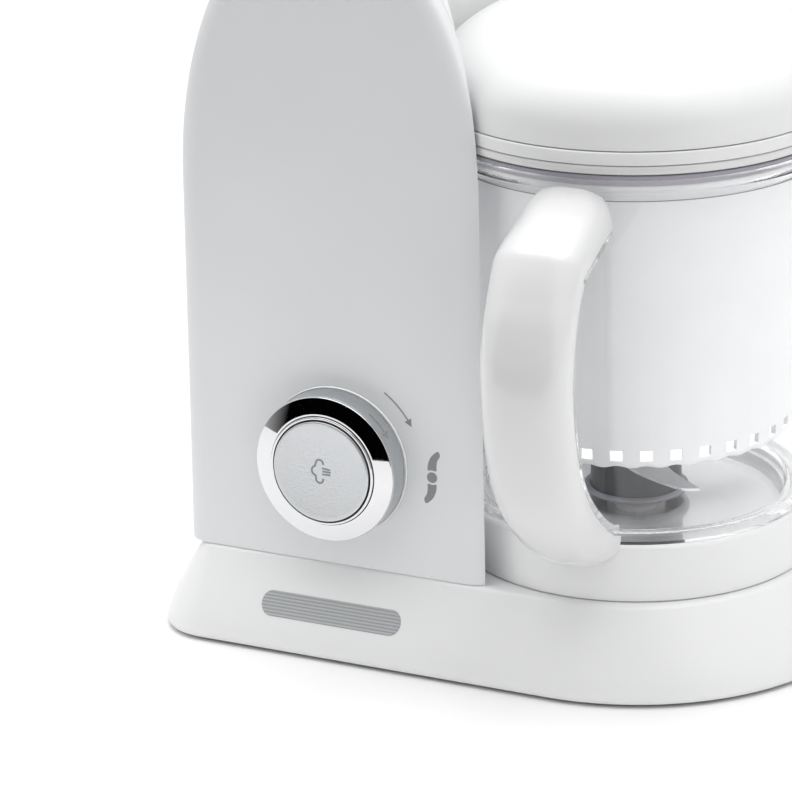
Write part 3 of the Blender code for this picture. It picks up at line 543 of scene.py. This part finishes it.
def make_tower():
    seam = 0.35                                    # small chamfer on both sides of the seam
    gap_y = PANEL_BACK + 0.3
    outside = ([(gap_y, seam, TOWER_FOOT), (gap_y + seam, 0, TOWER_FOOT)]
               + round_edge(TOWER_BACK, BACK_EDGE, 1))
    inside = [(-75, WALL, 20)] + round_edge(TOWER_BACK - WALL, BACK_EDGE - WALL, 1, WALL, 20)
    shell = settle("tower_casing", lofted_mesh(arch_rings(outside)), WHITE)
    cap_place = Matrix.Translation(CAP_AXIS)
    gland_place = Matrix.Translation((-110, TOWER_BACK, 50)) @ Matrix.Rotation(-math.pi / 2, 4, "X")
    cut(shell, [drum(SCOOP_RADIUS, -20, 320, steps=256), tower_hollow(inside),
                drum(CAP_RECESS, CAP_FLOOR - 4, 300, cap_place),
                drum(7.0, -3, 7, steam_facing(SCOOP_RADIUS, -1), SMALL_ROUND),
                drum(7.2, -10, 10, gland_place, SMALL_ROUND)])
    stand_in(shell, "root", "white_abs", "tower_shell")

    front = list(reversed(round_edge(FRONT_Y, PANEL_EDGE, -1, steps=14, wide=PANEL_ROLL)))
    front += [(PANEL_BACK - seam, 0, TOWER_FOOT), (PANEL_BACK, seam, TOWER_FOOT)]
    panel = settle("tower_front", lofted_mesh(arch_rings(front)), PANEL)
    pocket = [(y, inset, TOWER_FOOT + WALL) for y, inset in
              ((FRONT_Y + WALL, PANEL_ROLL), (FRONT_Y + WALL + 2, WALL), (PANEL_BACK + 5, WALL))]
    cut(panel, [drum(SCOOP_RADIUS, -20, 320, steps=256), tower_hollow(pocket),
                drum(6.6, -10, 10, facing_front(KNOB), SMALL_ROUND)])
    stand_in(panel, "root", "panel_abs", "front_panel")

    gland = rounded([(4.0, 3.0, 0.8), (10.0, 3.0, 1.4), (10.0, 0.3), (6.9, 0.3), (6.9, -5.0), (4.0, -5.0)])
    stand_in(settle("mains_inlet", turned_mesh(gland, steps=SMALL_ROUND), RUBBER, gland_place),
             "root", "rubber", "mains_gland")
    gasket = rounded([(3.6, 6.9, 0.8), (6.7, 6.9, 0.9), (6.7, 3.3), (9.2, 3.3), (9.2, 1.0), (6.7, 0),
                      (3.6, 0)])
    stand_in(settle("steam_outlet_seal", turned_mesh(gasket, steps=SMALL_ROUND), RUBBER,
                    steam_facing(79.3, 1)), "root", "rubber", "steam_gasket")


def make_cap():
    place = Matrix.Translation((*CAP_AXIS.xy, CAP_FLOOR))
    plug = rounded([(0, 14.0), (17.4, 14.0, 1.2), (17.4, 2.3, 0.4), (11.4, 2.3), (11.4, -17, 1.8), (0, -17)])
    stand_in(settle("filler_plug", turned_mesh(plug, False), WHITE, place), "cap", "white_abs", "cap_plug")
    seal = rounded([(11.7, 2.0), (16.6, 2.0, 0.8), (16.6, 0.3, 0.8), (11.7, 0.3)])
    stand_in(settle("filler_seal", turned_mesh(seal), RUBBER, place), "cap", "rubber", "cap_seal")
    disc = rounded([(0, 19.6), (13.5, 19.6, 3.0), (20.6, 17.4, 1.6), (20.6, 14.4, 1.0), (0, 14.4)])
    grip = settle("filler_grip", turned_mesh(disc, False), WHITE, place)
    bar = settle("bar", box_mesh((40.0, 11.0, 21.0), (0, 0, 27.5), 4.8), None, place)
    cut(grip, [bar], "UNION", sharp=40.0)
    stand_in(grip, "cap_grip", "white_abs", "cap_grip")


# ---------------------------------------------------------------- knob and button

def shade_gap_walls(obj, depth):
    """Painted shade in the gaps: faces of a turned piece further back than this depth in front of the tower
    get the dark nylon, so the narrow gaps round the button and rings look dark.
    """
    obj.data.materials.append(DARK_NYLON_AND_GAP_SHADE)
    limit = (FRONT_Y - depth + JUG_AXIS.y) * MM
    for face in obj.data.polygons:
        if face.center.y > limit:
            face.material_index = 1


def make_controls():
    facing = facing_front(KNOB)
    ring = rounded([(22, 0.7), (27.4, 0.7), (27.5, 1.1, 0.1), (27.72, 1.1, 0.1), (27.85, 0.3), (22, 0.3)])
    stand_in(settle("dial_light_ring", turned_mesh(ring, steps=192), LIGHT_RING, facing),
             "root", "light_ring", "dial_ring")

    front = FRONT_Y - corners_of("knob_bezel")[0].y
    rim = front - 2.15
    side = rounded([(20.6, rim), (KNOB_RADIUS, rim, 0.3), (KNOB_RADIUS, 1.5, 0.7), (6.4, 1.5), (6.4, 2.2),
                    (3.3, 2.2), (3.3, 5.0), (20.6, 5.0)])
    stand_in(settle("dial_side", turned_mesh(side, steps=192), KNOB_SIDE, facing),
             "knob", "satin_silver", "knob_body")
    bezel = rounded([(20.6, front), (21.2, front, 0.3), (KNOB_RADIUS - 0.15, rim + 0.75, 0.5),
                     (KNOB_RADIUS - 0.15, rim + 0.1), (20.6, rim + 0.1)])
    stand_in(settle("dial_bezel", turned_mesh(bezel, steps=192), CHROME, facing),
             "knob", "chrome", "knob_bezel")
    inner_front = FRONT_Y - corners_of("knob_inner_ring")[0].y
    inner = rounded([(19.3, inner_front, 0.25), (20.3, inner_front, 0.35), (20.3, 5.3), (19.3, 5.3)])
    inner_ring = settle("dial_inner_ring", turned_mesh(inner, steps=192), CHROME, facing)
    # Painted shade: the ring's side wall behind its front gets the dark nylon, to darken the gap by the bezel
    shade_gap_walls(inner_ring, inner_front - 0.6)
    stand_in(inner_ring, "knob", "satin_silver", "knob_inner_ring")

    dish = [(BUTTON_RADIUS * i / 10, BUTTON_FACE - 0.9 + 0.6 * (i / 10) ** 2) for i in range(10)]
    face = rounded(dish + [(BUTTON_RADIUS, BUTTON_FACE - 0.25, 0.5), (BUTTON_RADIUS, 7.2), (0, 7.2)])
    key = settle("steam_key", turned_mesh(face, False, 192), SILVER, facing)
    # Painted shade: the button's side wall behind its face gets the dark nylon, to darken the gap round the
    # button
    shade_gap_walls(key, BUTTON_FACE - 1.0)
    stand_in(key, "button", "satin_silver", "steam_button")


def ribbon(path, width):
    """The left and right edges of a line of even width along a flat path."""
    points = [Vector(p) for p in path]
    left, right = [], []
    for i, point in enumerate(points):
        before = points[i - 1] if i else point
        after = points[i + 1] if i + 1 < len(points) else point
        ahead = (after - before).normalized()
        side = Vector((-ahead.y, ahead.x)) * width / 2
        left.append(point + side)
        right.append(point - side)
    return left, right


def line_mesh(path, width, low, high):
    """A raised line along a flat path, between two heights."""
    bm = bmesh.new()
    left, right = ribbon(path, width)
    rings = skin(bm, [[(*a, low), (*a, high), (*b, high), (*b, low)] for a, b in zip(left, right)])
    bm.faces.new(rings[0])
    bm.faces.new(rings[-1][::-1])
    return bm


def join(meshes):
    """One mesh from several."""
    whole = bmesh.new()
    for bm in meshes:
        part = bpy.data.meshes.new("part")
        bm.to_mesh(part)
        bm.free()
        whole.from_mesh(part)
        bpy.data.meshes.remove(part)
    return whole


def curved_arrow(radius, start, end, head, width, half_head, low, high):
    """An arrow along an arc: a thin line and a filled triangle, angles in degrees."""
    line = line_mesh(arc(0, 0, radius, start, end, 24), width, low, high)
    base = arc(0, 0, radius, end, end, 1)[0]
    out = Vector(base).normalized()
    tip = arc(0, 0, radius, head, head, 1)[0]
    triangle = [Vector(base) + out * half_head, Vector(tip), Vector(base) - out * half_head]
    return join([line, plate_mesh([tuple(p) for p in triangle], low, high)])


def make_marks():
    raise_low, raise_high = -0.3, 0.06
    on_panel = facing_front(KNOB)
    arrow = curved_arrow(34.1, 55.7, 34.0, 29.3, 0.55, 1.55, raise_low, raise_high)
    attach(settle("turn_arrow_panel", arrow, PRINT_AND_SHADE, on_panel), "root")

    # Round the knob's side: laid out flat as (arc length, depth), then wrapped on the cylinder
    shaft = [(math.radians(a) * KNOB_RADIUS, 6.6) for a in range(53, 33, -1)]
    head = [(math.radians(a) * KNOB_RADIUS, depth) for a, depth in ((35.2, 8.6), (29.8, 6.6), (35.2, 4.6))]
    bm = join([line_mesh(shaft, 0.6, raise_low, 0.08), plate_mesh(head, raise_low, 0.08)])
    for vert in bm.verts:
        length, depth, up = vert.co
        angle, radius = length / KNOB_RADIUS, KNOB_RADIUS + up
        vert.co = (radius * math.cos(angle), radius * math.sin(angle), depth)
    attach(settle("turn_arrow_dial", bm, PRINT_AND_SHADE, on_panel), "knob")

    # Blade mark: two swept arms and a disc between them
    centre = Vector((37.4, -1.3))
    arm = smooth_path([(-1.75, 2.6), (-1.5, 5.0), (-0.4, 7.6), (1.5, 9.6), (2.7, 10.0), (3.2, 8.4),
                       (2.2, 6.6), (1.8, 4.6), (1.8, 2.7)], 5)
    upper = [(p.x, p.y) for p in arm] + arc(0, 0, 2.75, 55, 125, 6)[1:-1]
    lower = [(-x, -y) for x, y in upper]
    blade_mark = join([plate_mesh(arc(0, 0, 2.0, 0, 350, 35), raise_low, raise_high),
                       plate_mesh(upper, raise_low, raise_high), plate_mesh(lower, raise_low, raise_high)])
    bmesh.ops.translate(blade_mark, vec=(*centre, 0), verts=blade_mark.verts)
    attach(settle("blade_mark_panel", blade_mark, PRINT_AND_SHADE, on_panel), "root")

    # Steam mark: an open puff outline and three short jets
    puff = (arc(-0.6, 3.0, 1.45, -10, 170, 16) + arc(-2.0, 0.1, 1.75, 105, 262, 14)
            + arc(-0.7, -2.9, 1.45, 165, 370, 18))
    jets = [line_mesh([(0.4, 1.35), (3.6, 1.0)], 0.62, raise_low, raise_high),
            line_mesh([(0.5, 0.2), (3.8, 0.05)], 0.62, raise_low, raise_high),
            line_mesh([(0.4, -0.95), (3.6, -0.9)], 0.62, raise_low, raise_high)]
    steam = join([line_mesh(puff, 0.72, raise_low, raise_high)] + jets)
    bmesh.ops.translate(steam, vec=(0, 0, BUTTON_FACE - 0.86), verts=steam.verts)
    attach(settle("steam_mark_button", steam, PRINT_AND_SHADE, on_panel), "button")


# ---------------------------------------------------------------- jug and handle

def jug_outside(clearance=0.0):
    return [(JUG_RIM_RADIUS + clearance, JUG_SHOULDER + 3.2 - clearance),
            (JUG_RADIUS_HIGH + clearance, JUG_SHOULDER), (JUG_RADIUS_LOW + clearance, JUG_FOOT + 4)]


def make_jug():
    shoulder, wall, heel = jug_outside()
    inner_high, inner_low = JUG_RADIUS_HIGH - 3.0, JUG_RADIUS_LOW - 3.0
    profile = rounded([
        (JUG_RIM_RADIUS - 2.6, JUG_RIM, 0.6), (JUG_RIM_RADIUS, JUG_RIM, 0.8), (*shoulder, 0.8), (*wall, 0.6),
        (*heel, 3.0), (JUG_RADIUS_LOW - 1.6, JUG_FOOT, 0.5), (56.8, JUG_FOOT, 0.5), (56.6, JUG_FLOOR, 1.5),
        (8.0, JUG_FLOOR), (8.0, JUG_FLOOR + 2.6, 0.4), (53.0, JUG_FLOOR + 2.6, 4.0),
        (55.0, JUG_FOOT + 2.8, 1.0), (inner_low, JUG_FOOT + 3.4, 3.0), (inner_high, JUG_SHOULDER - 1, 2.0),
        (JUG_RIM_RADIUS - 2.6, JUG_SHOULDER + 4, 1.0)])
    stand_in(settle("clear_jug", turned_mesh(profile, steps=256), CLEAR), "jug", "clear_tritan", "jug_bowl")
    # Painted shade: a thin grey ring round the jug below the shoulder stands for the dark line where the
    # thicker rim ends
    line = [(JUG_RADIUS_HIGH + 0.02, JUG_SHOULDER - 0.2), (JUG_RADIUS_HIGH + 0.2, JUG_SHOULDER - 0.2),
            (JUG_RADIUS_HIGH + 0.2, JUG_SHOULDER - 0.5), (JUG_RADIUS_HIGH + 0.02, JUG_SHOULDER - 0.5)]
    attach(settle("rim_shade_ring", turned_mesh(line, steps=256), PRINT_AND_SHADE), "jug")


def make_handle():
    plane = Matrix.Rotation(HANDLE_TURN - math.pi / 2, 4, "Z")
    path = smooth_path(HANDLE_PATH, 8)
    lengths = [0.0]
    for a, b in zip(path, path[1:]):
        lengths.append(lengths[-1] + (b - a).length)
    thick, across = 2.2, 48
    low, high = HANDLE_CROWN + 0.5, HANDLE_CROWN + 4.3
    section = rounded([(-15.4, high, 1.2), (15.4, high, 1.2), (15.4, low, 0.4), (11.6, low), (9.5, 4.4, 2.0),
                       (-9.5, 4.4, 2.0), (-11.6, low), (-15.4, low, 0.4)])
    cover, clear_frame = [], []
    for i, point in enumerate(path):
        ahead = (path[min(i + 1, len(path) - 1)] - path[max(i - 1, 0)]).normalized()
        inward = Vector((ahead.y, -ahead.x))
        left = lengths[-1] - lengths[i]
        narrow = max((1 - max(1 - left / HANDLE_TIP, 0) ** 4) ** 0.25, 0.5)
        narrow = min(narrow, max((1 - max(1 - lengths[i] / HANDLE_TONGUE, 0) ** 3) ** 0.33, 0.5))
        outer, inner = [], []
        for k in range(across + 1):
            angle = math.radians(-90 + 180 * k / across)
            curl = 1 - max(math.cos(angle), 0) ** 0.8
            swing = math.copysign(abs(math.sin(angle)) ** 0.8, angle) * narrow
            for row, half, crown, edge in ((outer, HANDLE_HALF_WIDTH, 0, HANDLE_CROWN),
                                           (inner, HANDLE_HALF_WIDTH - thick, thick, HANDLE_CROWN + 0.1)):
                depth = crown + (edge - crown) * curl
                row.append((point.x + inward.x * depth, swing * half, point.y + inward.y * depth))
        cover.append(outer + inner[::-1])
        clear_frame.append([(point.x + inward.x * d, s * narrow, point.y + inward.y * d) for s, d in section])

    def keep_out():
        profile = ([(0, 200), (JUG_RIM_RADIUS + 0.3, 200)] + jug_outside(0.3)
                   + [(PEDESTAL_RADIUS + 0.7, 30), (0, 30)])
        return settle("keep_out", turned_mesh(profile, False, 256), None)

    outside = settle("handle_grip", lofted_mesh(cover), SHADED_GLOSS_WHITE, plane)
    stand_in(cut(outside, [keep_out()], sharp=50.0), "jug", "white_abs", "handle_cover")
    inside = settle("handle_core", lofted_mesh(clear_frame), CLEAR, plane)
    stand_in(cut(inside, [keep_out()], sharp=50.0), "jug", "clear_tritan", "handle_frame")


# ---------------------------------------------------------------- blade and basket

def make_blade():
    hub = rounded([(3.3, HUB_TOP, 0.4), (16.4, HUB_TOP, 1.5), (16.7, HUB_LOW + 0.4, 0.5),
                   (15.0, HUB_LOW + 0.4), (14.4, 61.0), (9.5, 61.0), (9.5, 56.0), (3.3, 56.0)])
    skirt = rounded([(16.9, HUB_LOW + 1.5, 0.3), (19.2, HUB_LOW + 1.1, 0.5), (19.2, HUB_LOW, 0.4),
                     (15.1, HUB_LOW), (15.1, HUB_LOW + 0.3), (16.9, HUB_LOW + 0.3)])
    stand_in(settle("blade_carrier", turned_mesh(hub), HUB_GREY), "blade", "dark_grey_hub", "blade_hub")
    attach(settle("carrier_skirt", turned_mesh(skirt), SEAL_GREY), "blade")
    for node, name, reach, turn in (("blade_lower", "knife_lower", 48, 0.6),
                                    ("blade_upper", "knife_upper", 38, 2.1)):
        height = middle_of(node).z
        side = smooth_path([(-7.5, -6.5), (-6.75, -reach * 0.5), (5.2, -reach * 0.93), (13, -reach)], 8)
        edge = smooth_path([(13, -reach), (6.75, -reach * 0.55), (7.5, -6.5)], 8)
        arm = [(p.x, p.y) for p in side + edge[1:]]
        outline = arm + [(-x, -y) for x, y in arm]
        knife = plate_mesh(outline, height - 0.5, height + 0.5)
        bevelled = [e for e in knife.edges if len(e.link_faces) == 2 and e.calc_face_angle(0) > 0.5
                    and abs(e.verts[0].co.z - e.verts[1].co.z) < 0.01]
        bmesh.ops.bevel(knife, geom=bevelled, offset=0.32, segments=1, affect="EDGES")
        blade = settle(name, knife, BLADE, Matrix.Rotation(turn, 4, "Z"), sharp=15.0)
        cut(blade, [drum(3.3, height - 3, height + 3, steps=SMALL_ROUND)], sharp=15.0)
        stand_in(blade, "blade", "blade_steel", node)
    nut_outline = arc(0, 0, 5.6, 0, 300, 5)
    nut_low, nut_high = corners_of("blade_nut")[0].z, corners_of("blade_nut")[1].z
    nut = settle("blade_cap_nut", plate_mesh(nut_outline, nut_low, nut_high), STEEL, sharp=20.0)
    cut(nut, [drum(3.3, nut_low - 5, nut_high + 5, steps=SMALL_ROUND)], sharp=20.0)
    stand_in(nut, "blade", "steel", "blade_nut")


def make_basket():
    profile = rounded([
        (0, BASKET_LOW + 1.7), (55.3, BASKET_LOW + 1.7, 2.0), (61.2, BASKET_HIGH, 0.6),
        (JUG_RIM_RADIUS - 3.4, BASKET_HIGH, 0.5), (JUG_RIM_RADIUS - 3.4, BASKET_HIGH - 1.6, 0.5),
        (62.9, BASKET_HIGH - 1.6, 0.8), (57.0, BASKET_LOW, 3.0), (0, BASKET_LOW)])
    slots, slot_count = [], 34
    wall = turned_mesh(profile, False, slot_count * 12)
    for vert in wall.verts:                        # the lower edge dips a little between the windows
        if vert.co.xy.length > 50 and vert.co.z < BASKET_LOW + 1.6:
            vert.co.z += 0.4 * math.cos(slot_count * math.atan2(vert.co.y, vert.co.x))
    basket = settle("inner_basket", wall, BASKET)
    for i in range(slot_count):
        window = box_mesh((8.0, 4.4, 3.8), (57.5, 0, BASKET_LOW + 5.1))
        window.transform(Matrix.Rotation(math.tau * i / slot_count, 4, "Z"))
        slots.append(window)
    for ring_radius, count in ((20, 6), (38, 10)):
        for i in range(count):
            hole = turned_mesh([(0, 4), (2.2, 4), (2.2, -2), (0, -2)], False, 24)
            hole.transform(Matrix.Rotation(math.tau * i / count, 4, "Z")
                           @ Matrix.Translation((ring_radius, 0, BASKET_LOW)))
            slots.append(hole)
    cut(basket, [settle("slots", join(slots), None)])
    stand_in(basket, "basket", "frosted_basket", "steam_basket")


# ---------------------------------------------------------------- lid

def make_lid():
    flange, ring_low = JUG_RIM + 2.2, GROOVE - 4.7
    seal = rounded([(64.6, flange - 0.3), (71.0, flange - 0.3, 0.4), (70.6, JUG_RIM + 0.3, 0.4),
                    (64.6, JUG_RIM + 0.3)])
    stand_in(settle("lid_gasket", turned_mesh(seal, steps=256), SEAL_GREY),
             "lid", "seal_silicone", "lid_seal")
    liner = rounded([
        (0, GROOVE), (67.9, GROOVE, 1.5), (67.9, ring_low - 0.3), (LID_RADIUS - 0.1, ring_low - 0.3, 0.9),
        (LID_RADIUS - 0.1, flange, 1.3), (64.2, flange), (64.2, JUG_RIM - 0.7), (62.2, JUG_RIM - 0.7),
        (62.2, GROOVE - 2.0), (0, GROOVE - 2.0)])
    cover = settle("lid_inner", turned_mesh(liner, False, 256), SHADED_GLOSS_WHITE)
    vents = []
    for i in range(6):
        angle = math.tau * (i + 0.5) / 6
        place = Matrix.Translation((30 * math.cos(angle), 30 * math.sin(angle), 0))
        vents.append(drum(3.0, GROOVE - 5, GROOVE + 5, place, 32))
    stand_in(cut(cover, vents), "lid", "white_abs", "lid_liner")

    radius, shoulder = LID_RADIUS - 0.4, GROOVE + 7.5
    rise = LID_TOP - shoulder
    angles = [math.pi / 2 * (1 - i / 40) for i in range(41)]
    outer = [(radius * math.cos(a), shoulder + rise * math.sin(a)) for a in angles]
    inner = [(max(r - WALL, 0), z - WALL) for r, z in reversed(outer)]
    low = GROOVE + 0.2
    wall = [(radius, low + 0.6), (radius - 0.18, low + 0.15), (radius - 0.6, low), (radius - WALL, low)]
    profile = outer + wall + inner[:-1] + [(0, inner[-1][1])]
    dome = settle("lid_shell", turned_mesh(profile, False, 256), WHITE)
    cut(dome, [drum(4.3, LID_TOP - 10, LID_TOP + 5, steps=SMALL_ROUND),
               drum(6.0, -6, 4, steam_facing(LID_RADIUS - 0.3, -1), SMALL_ROUND)])
    stand_in(dome, "lid", "white_abs", "lid_dome")
    inlet = rounded([(3.4, 0, 0.6), (5.6, 0, 0.4), (5.6, -12), (3.4, -12)])
    stand_in(settle("lid_steam_inlet", turned_mesh(inlet, steps=SMALL_ROUND), RUBBER,
                    steam_facing(LID_RADIUS - 0.3, -1)), "lid", "rubber", "steam_inlet")
    knob = rounded([(0, LID_TOP + 15), (15.5, LID_TOP + 15, 4.5), (12.0, LID_TOP + 5, 6.0),
                    (13.0, LID_TOP + 0.5), (4.0, LID_TOP + 0.5), (4.0, LID_TOP - 7), (0, LID_TOP - 7)])
    stand_in(settle("lid_grip", turned_mesh(knob, False), WHITE), "lid", "white_abs", "lid_knob")
    ring = rounded([(69.0, GROOVE - 0.1), (LID_RADIUS, GROOVE - 0.1, 0.5), (LID_RADIUS, ring_low, 0.5),
                    (69.0, ring_low)])
    stand_in(settle("lock_band", turned_mesh(ring, steps=256), WHITE),
             "lock_ring", "white_abs", "lid_lock_ring")


# ---------------------------------------------------------------- carried-over pieces

KEPT = {
    "bottom_cover": WHITE, "cover_screw_1": STEEL, "cover_screw_2": STEEL, "cover_screw_3": STEEL,
    "cover_screw_4": STEEL, "water_tank": STEEL, "heating_element": CAST, "thermostat": DARK_NYLON_AND_GAP_SHADE,
    "tank_neck": WHITE, "steam_pipe": RUBBER, "rotary_switch": DARK_NYLON_AND_GAP_SHADE, "control_board": BOARD,
    "button_spring": STEEL, "motor_can": STEEL, "drive_belt": RUBBER, "spindle_bearing": CAST,
    "rotor_shaft": STEEL, "motor_pulley": DARK_NYLON_AND_GAP_SHADE, "spindle_shaft": STEEL, "spindle_pulley": DARK_NYLON_AND_GAP_SHADE,
    "drive_dog": DARK_NYLON_AND_GAP_SHADE, "knob_shaft": DARK_NYLON_AND_GAP_SHADE, "button_stem": DARK_NYLON_AND_GAP_SHADE, "blade_bushing": WHITE,
    "drive_socket": WHITE, "blade_shaft": STEEL,
}


def finish_kept_nodes():
    for name, material in KEPT.items():
        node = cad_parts[name]
        if not node.material_slots:
            node.data.materials.append(material)
        for material_slot in node.material_slots:
            material_slot.material = material


# ---------------------------------------------------------------- stage, light, camera

def make_stage():
    """A pale table top, whose front edge lies a little in front of the object."""
    half_size, front = 1.1, -0.42                  # metres
    floor_material = moulded("pale_floor", (0.88, 0.88, 0.88), shade=0.995, roughness=0.7, bump=0.0)
    bm = bmesh.new()
    bmesh.ops.create_grid(bm, x_segments=8, y_segments=8, size=half_size)
    mesh = bpy.data.meshes.new("floor")
    bm.to_mesh(mesh)
    bm.free()
    mesh.materials.append(floor_material)
    floor = bpy.data.objects.new("floor", mesh)
    floor.location = (0, half_size + front, -0.0002)
    bpy.context.scene.collection.objects.link(floor)


def make_world():
    """A pale studio before a white background.

    Soft light comes mostly from above and from the sides. In reflections the middle of the front is dark.
    """
    world = bpy.data.worlds.new("studio")
    bpy.context.scene.world = world
    world.use_nodes = True
    tree = world.node_tree
    background = tree.nodes["Background"]
    plain = tree.nodes.new("ShaderNodeBackground")
    plain.inputs["Color"].default_value = (1, 1, 1, 1)
    plain.inputs["Strength"].default_value = 1.0
    place = tree.nodes.new("ShaderNodeTexCoord")
    dot = tree.nodes.new("ShaderNodeVectorMath")
    dot.operation = "DOT_PRODUCT"
    heading = math.radians(2.0)
    dot.inputs[1].default_value = (math.sin(heading), -math.cos(heading), -0.1)
    tree.links.new(place.outputs["Generated"], dot.inputs[0])
    split = tree.nodes.new("ShaderNodeSeparateXYZ")
    tree.links.new(place.outputs["Generated"], split.inputs["Vector"])
    path = tree.nodes.new("ShaderNodeLightPath")
    diffuse, through = path.outputs["Is Diffuse Ray"], path.outputs["Is Transmission Ray"]
    reflected = link_math(tree, "SUBTRACT", path.outputs["Is Glossy Ray"], through)
    glossy = link_math(tree, "GREATER_THAN", reflected, 0.5)
    ahead = dot.outputs["Value"]                   # 1 straight in front of the object, -1 behind it
    mirrored = link_math(tree, "MULTIPLY", link_range(tree, ahead, 0.8, 0.0, 0.45, 0.72), glossy)
    sides = link_math(tree, "MINIMUM", link_range(tree, ahead, 1.14, 0.28, 0.25, 0.92),
                      link_range(tree, ahead, 0.25, 1.14, -0.75, 0.0))
    spread = link_math(tree, "MULTIPLY", sides, diffuse)
    both = link_math(tree, "ADD", mirrored, spread)
    height = link_range(tree, split.outputs["Z"], 0.9, 1.4, 0.0, 0.9)
    tree.links.new(link_math(tree, "MULTIPLY", both, height), background.inputs["Strength"])
    background.inputs["Color"].default_value = (1, 1, 1, 1)
    mix = tree.nodes.new("ShaderNodeMixShader")
    tree.links.new(link_math(tree, "MAXIMUM", diffuse, glossy), mix.inputs["Fac"])
    tree.links.new(plain.outputs["Background"], mix.inputs[1])
    tree.links.new(background.outputs["Background"], mix.inputs[2])
    tree.links.new(mix.outputs["Shader"], tree.nodes["World Output"].inputs["Surface"])


def make_light(name, place, aim, size, power):
    data = bpy.data.lights.new(name, "AREA")
    data.shape = "RECTANGLE"
    data.size, data.size_y = size
    data.energy = power
    light = bpy.data.objects.new(name, data)
    light.location = place
    light.rotation_mode = "QUATERNION"
    light.rotation_quaternion = (Vector(aim) - Vector(place)).to_track_quat("-Z", "Y")
    bpy.context.scene.collection.objects.link(light)


def make_fill(name, place, radius, power):
    """A round soft lamp that is itself never seen."""
    data = bpy.data.lights.new(name, "POINT")
    data.shadow_soft_size = radius
    data.energy = power
    light = bpy.data.objects.new(name, data)
    light.location = place
    light.visible_camera = light.visible_glossy = light.visible_transmission = False
    bpy.context.scene.collection.objects.link(light)


def make_camera():
    azimuth, elevation, roll = (math.radians(a) for a in (26.32, 19.68, -1.215))
    back = Vector((math.sin(azimuth) * math.cos(elevation), -math.cos(azimuth) * math.cos(elevation),
                   math.sin(elevation)))
    data = bpy.data.cameras.new("camera")
    data.sensor_width = 36.0
    data.lens = 190.74
    data.clip_start, data.clip_end = 0.05, 50.0
    camera = bpy.data.objects.new("camera", data)
    camera.location = JUG_AXIS * MM + Vector((0.55590, -1.31972, 0.60030))
    camera.rotation_mode = "QUATERNION"
    camera.rotation_quaternion = (-back).to_track_quat("-Z", "Y") @ Quaternion((0, 0, 1), roll)
    bpy.context.scene.collection.objects.link(camera)
    bpy.context.scene.camera = camera


make_camera()
make_stage()
make_world()
make_light("top_softbox", (0.0, 0.15, 1.4), (0, 0, 0.1), (1.6, 1.4), 12.5)
make_fill("jug_fill", (JUG_AXIS + Vector((0, 0, FILL_HEIGHT))) * MM, 0.03, 0.22)
bpy.context.scene.view_settings.view_transform = "Standard"
make_base()
make_inlay()
make_tower()
make_cap()
make_controls()
make_marks()
make_jug()
make_handle()
make_blade()
make_basket()
make_lid()
finish_kept_nodes()
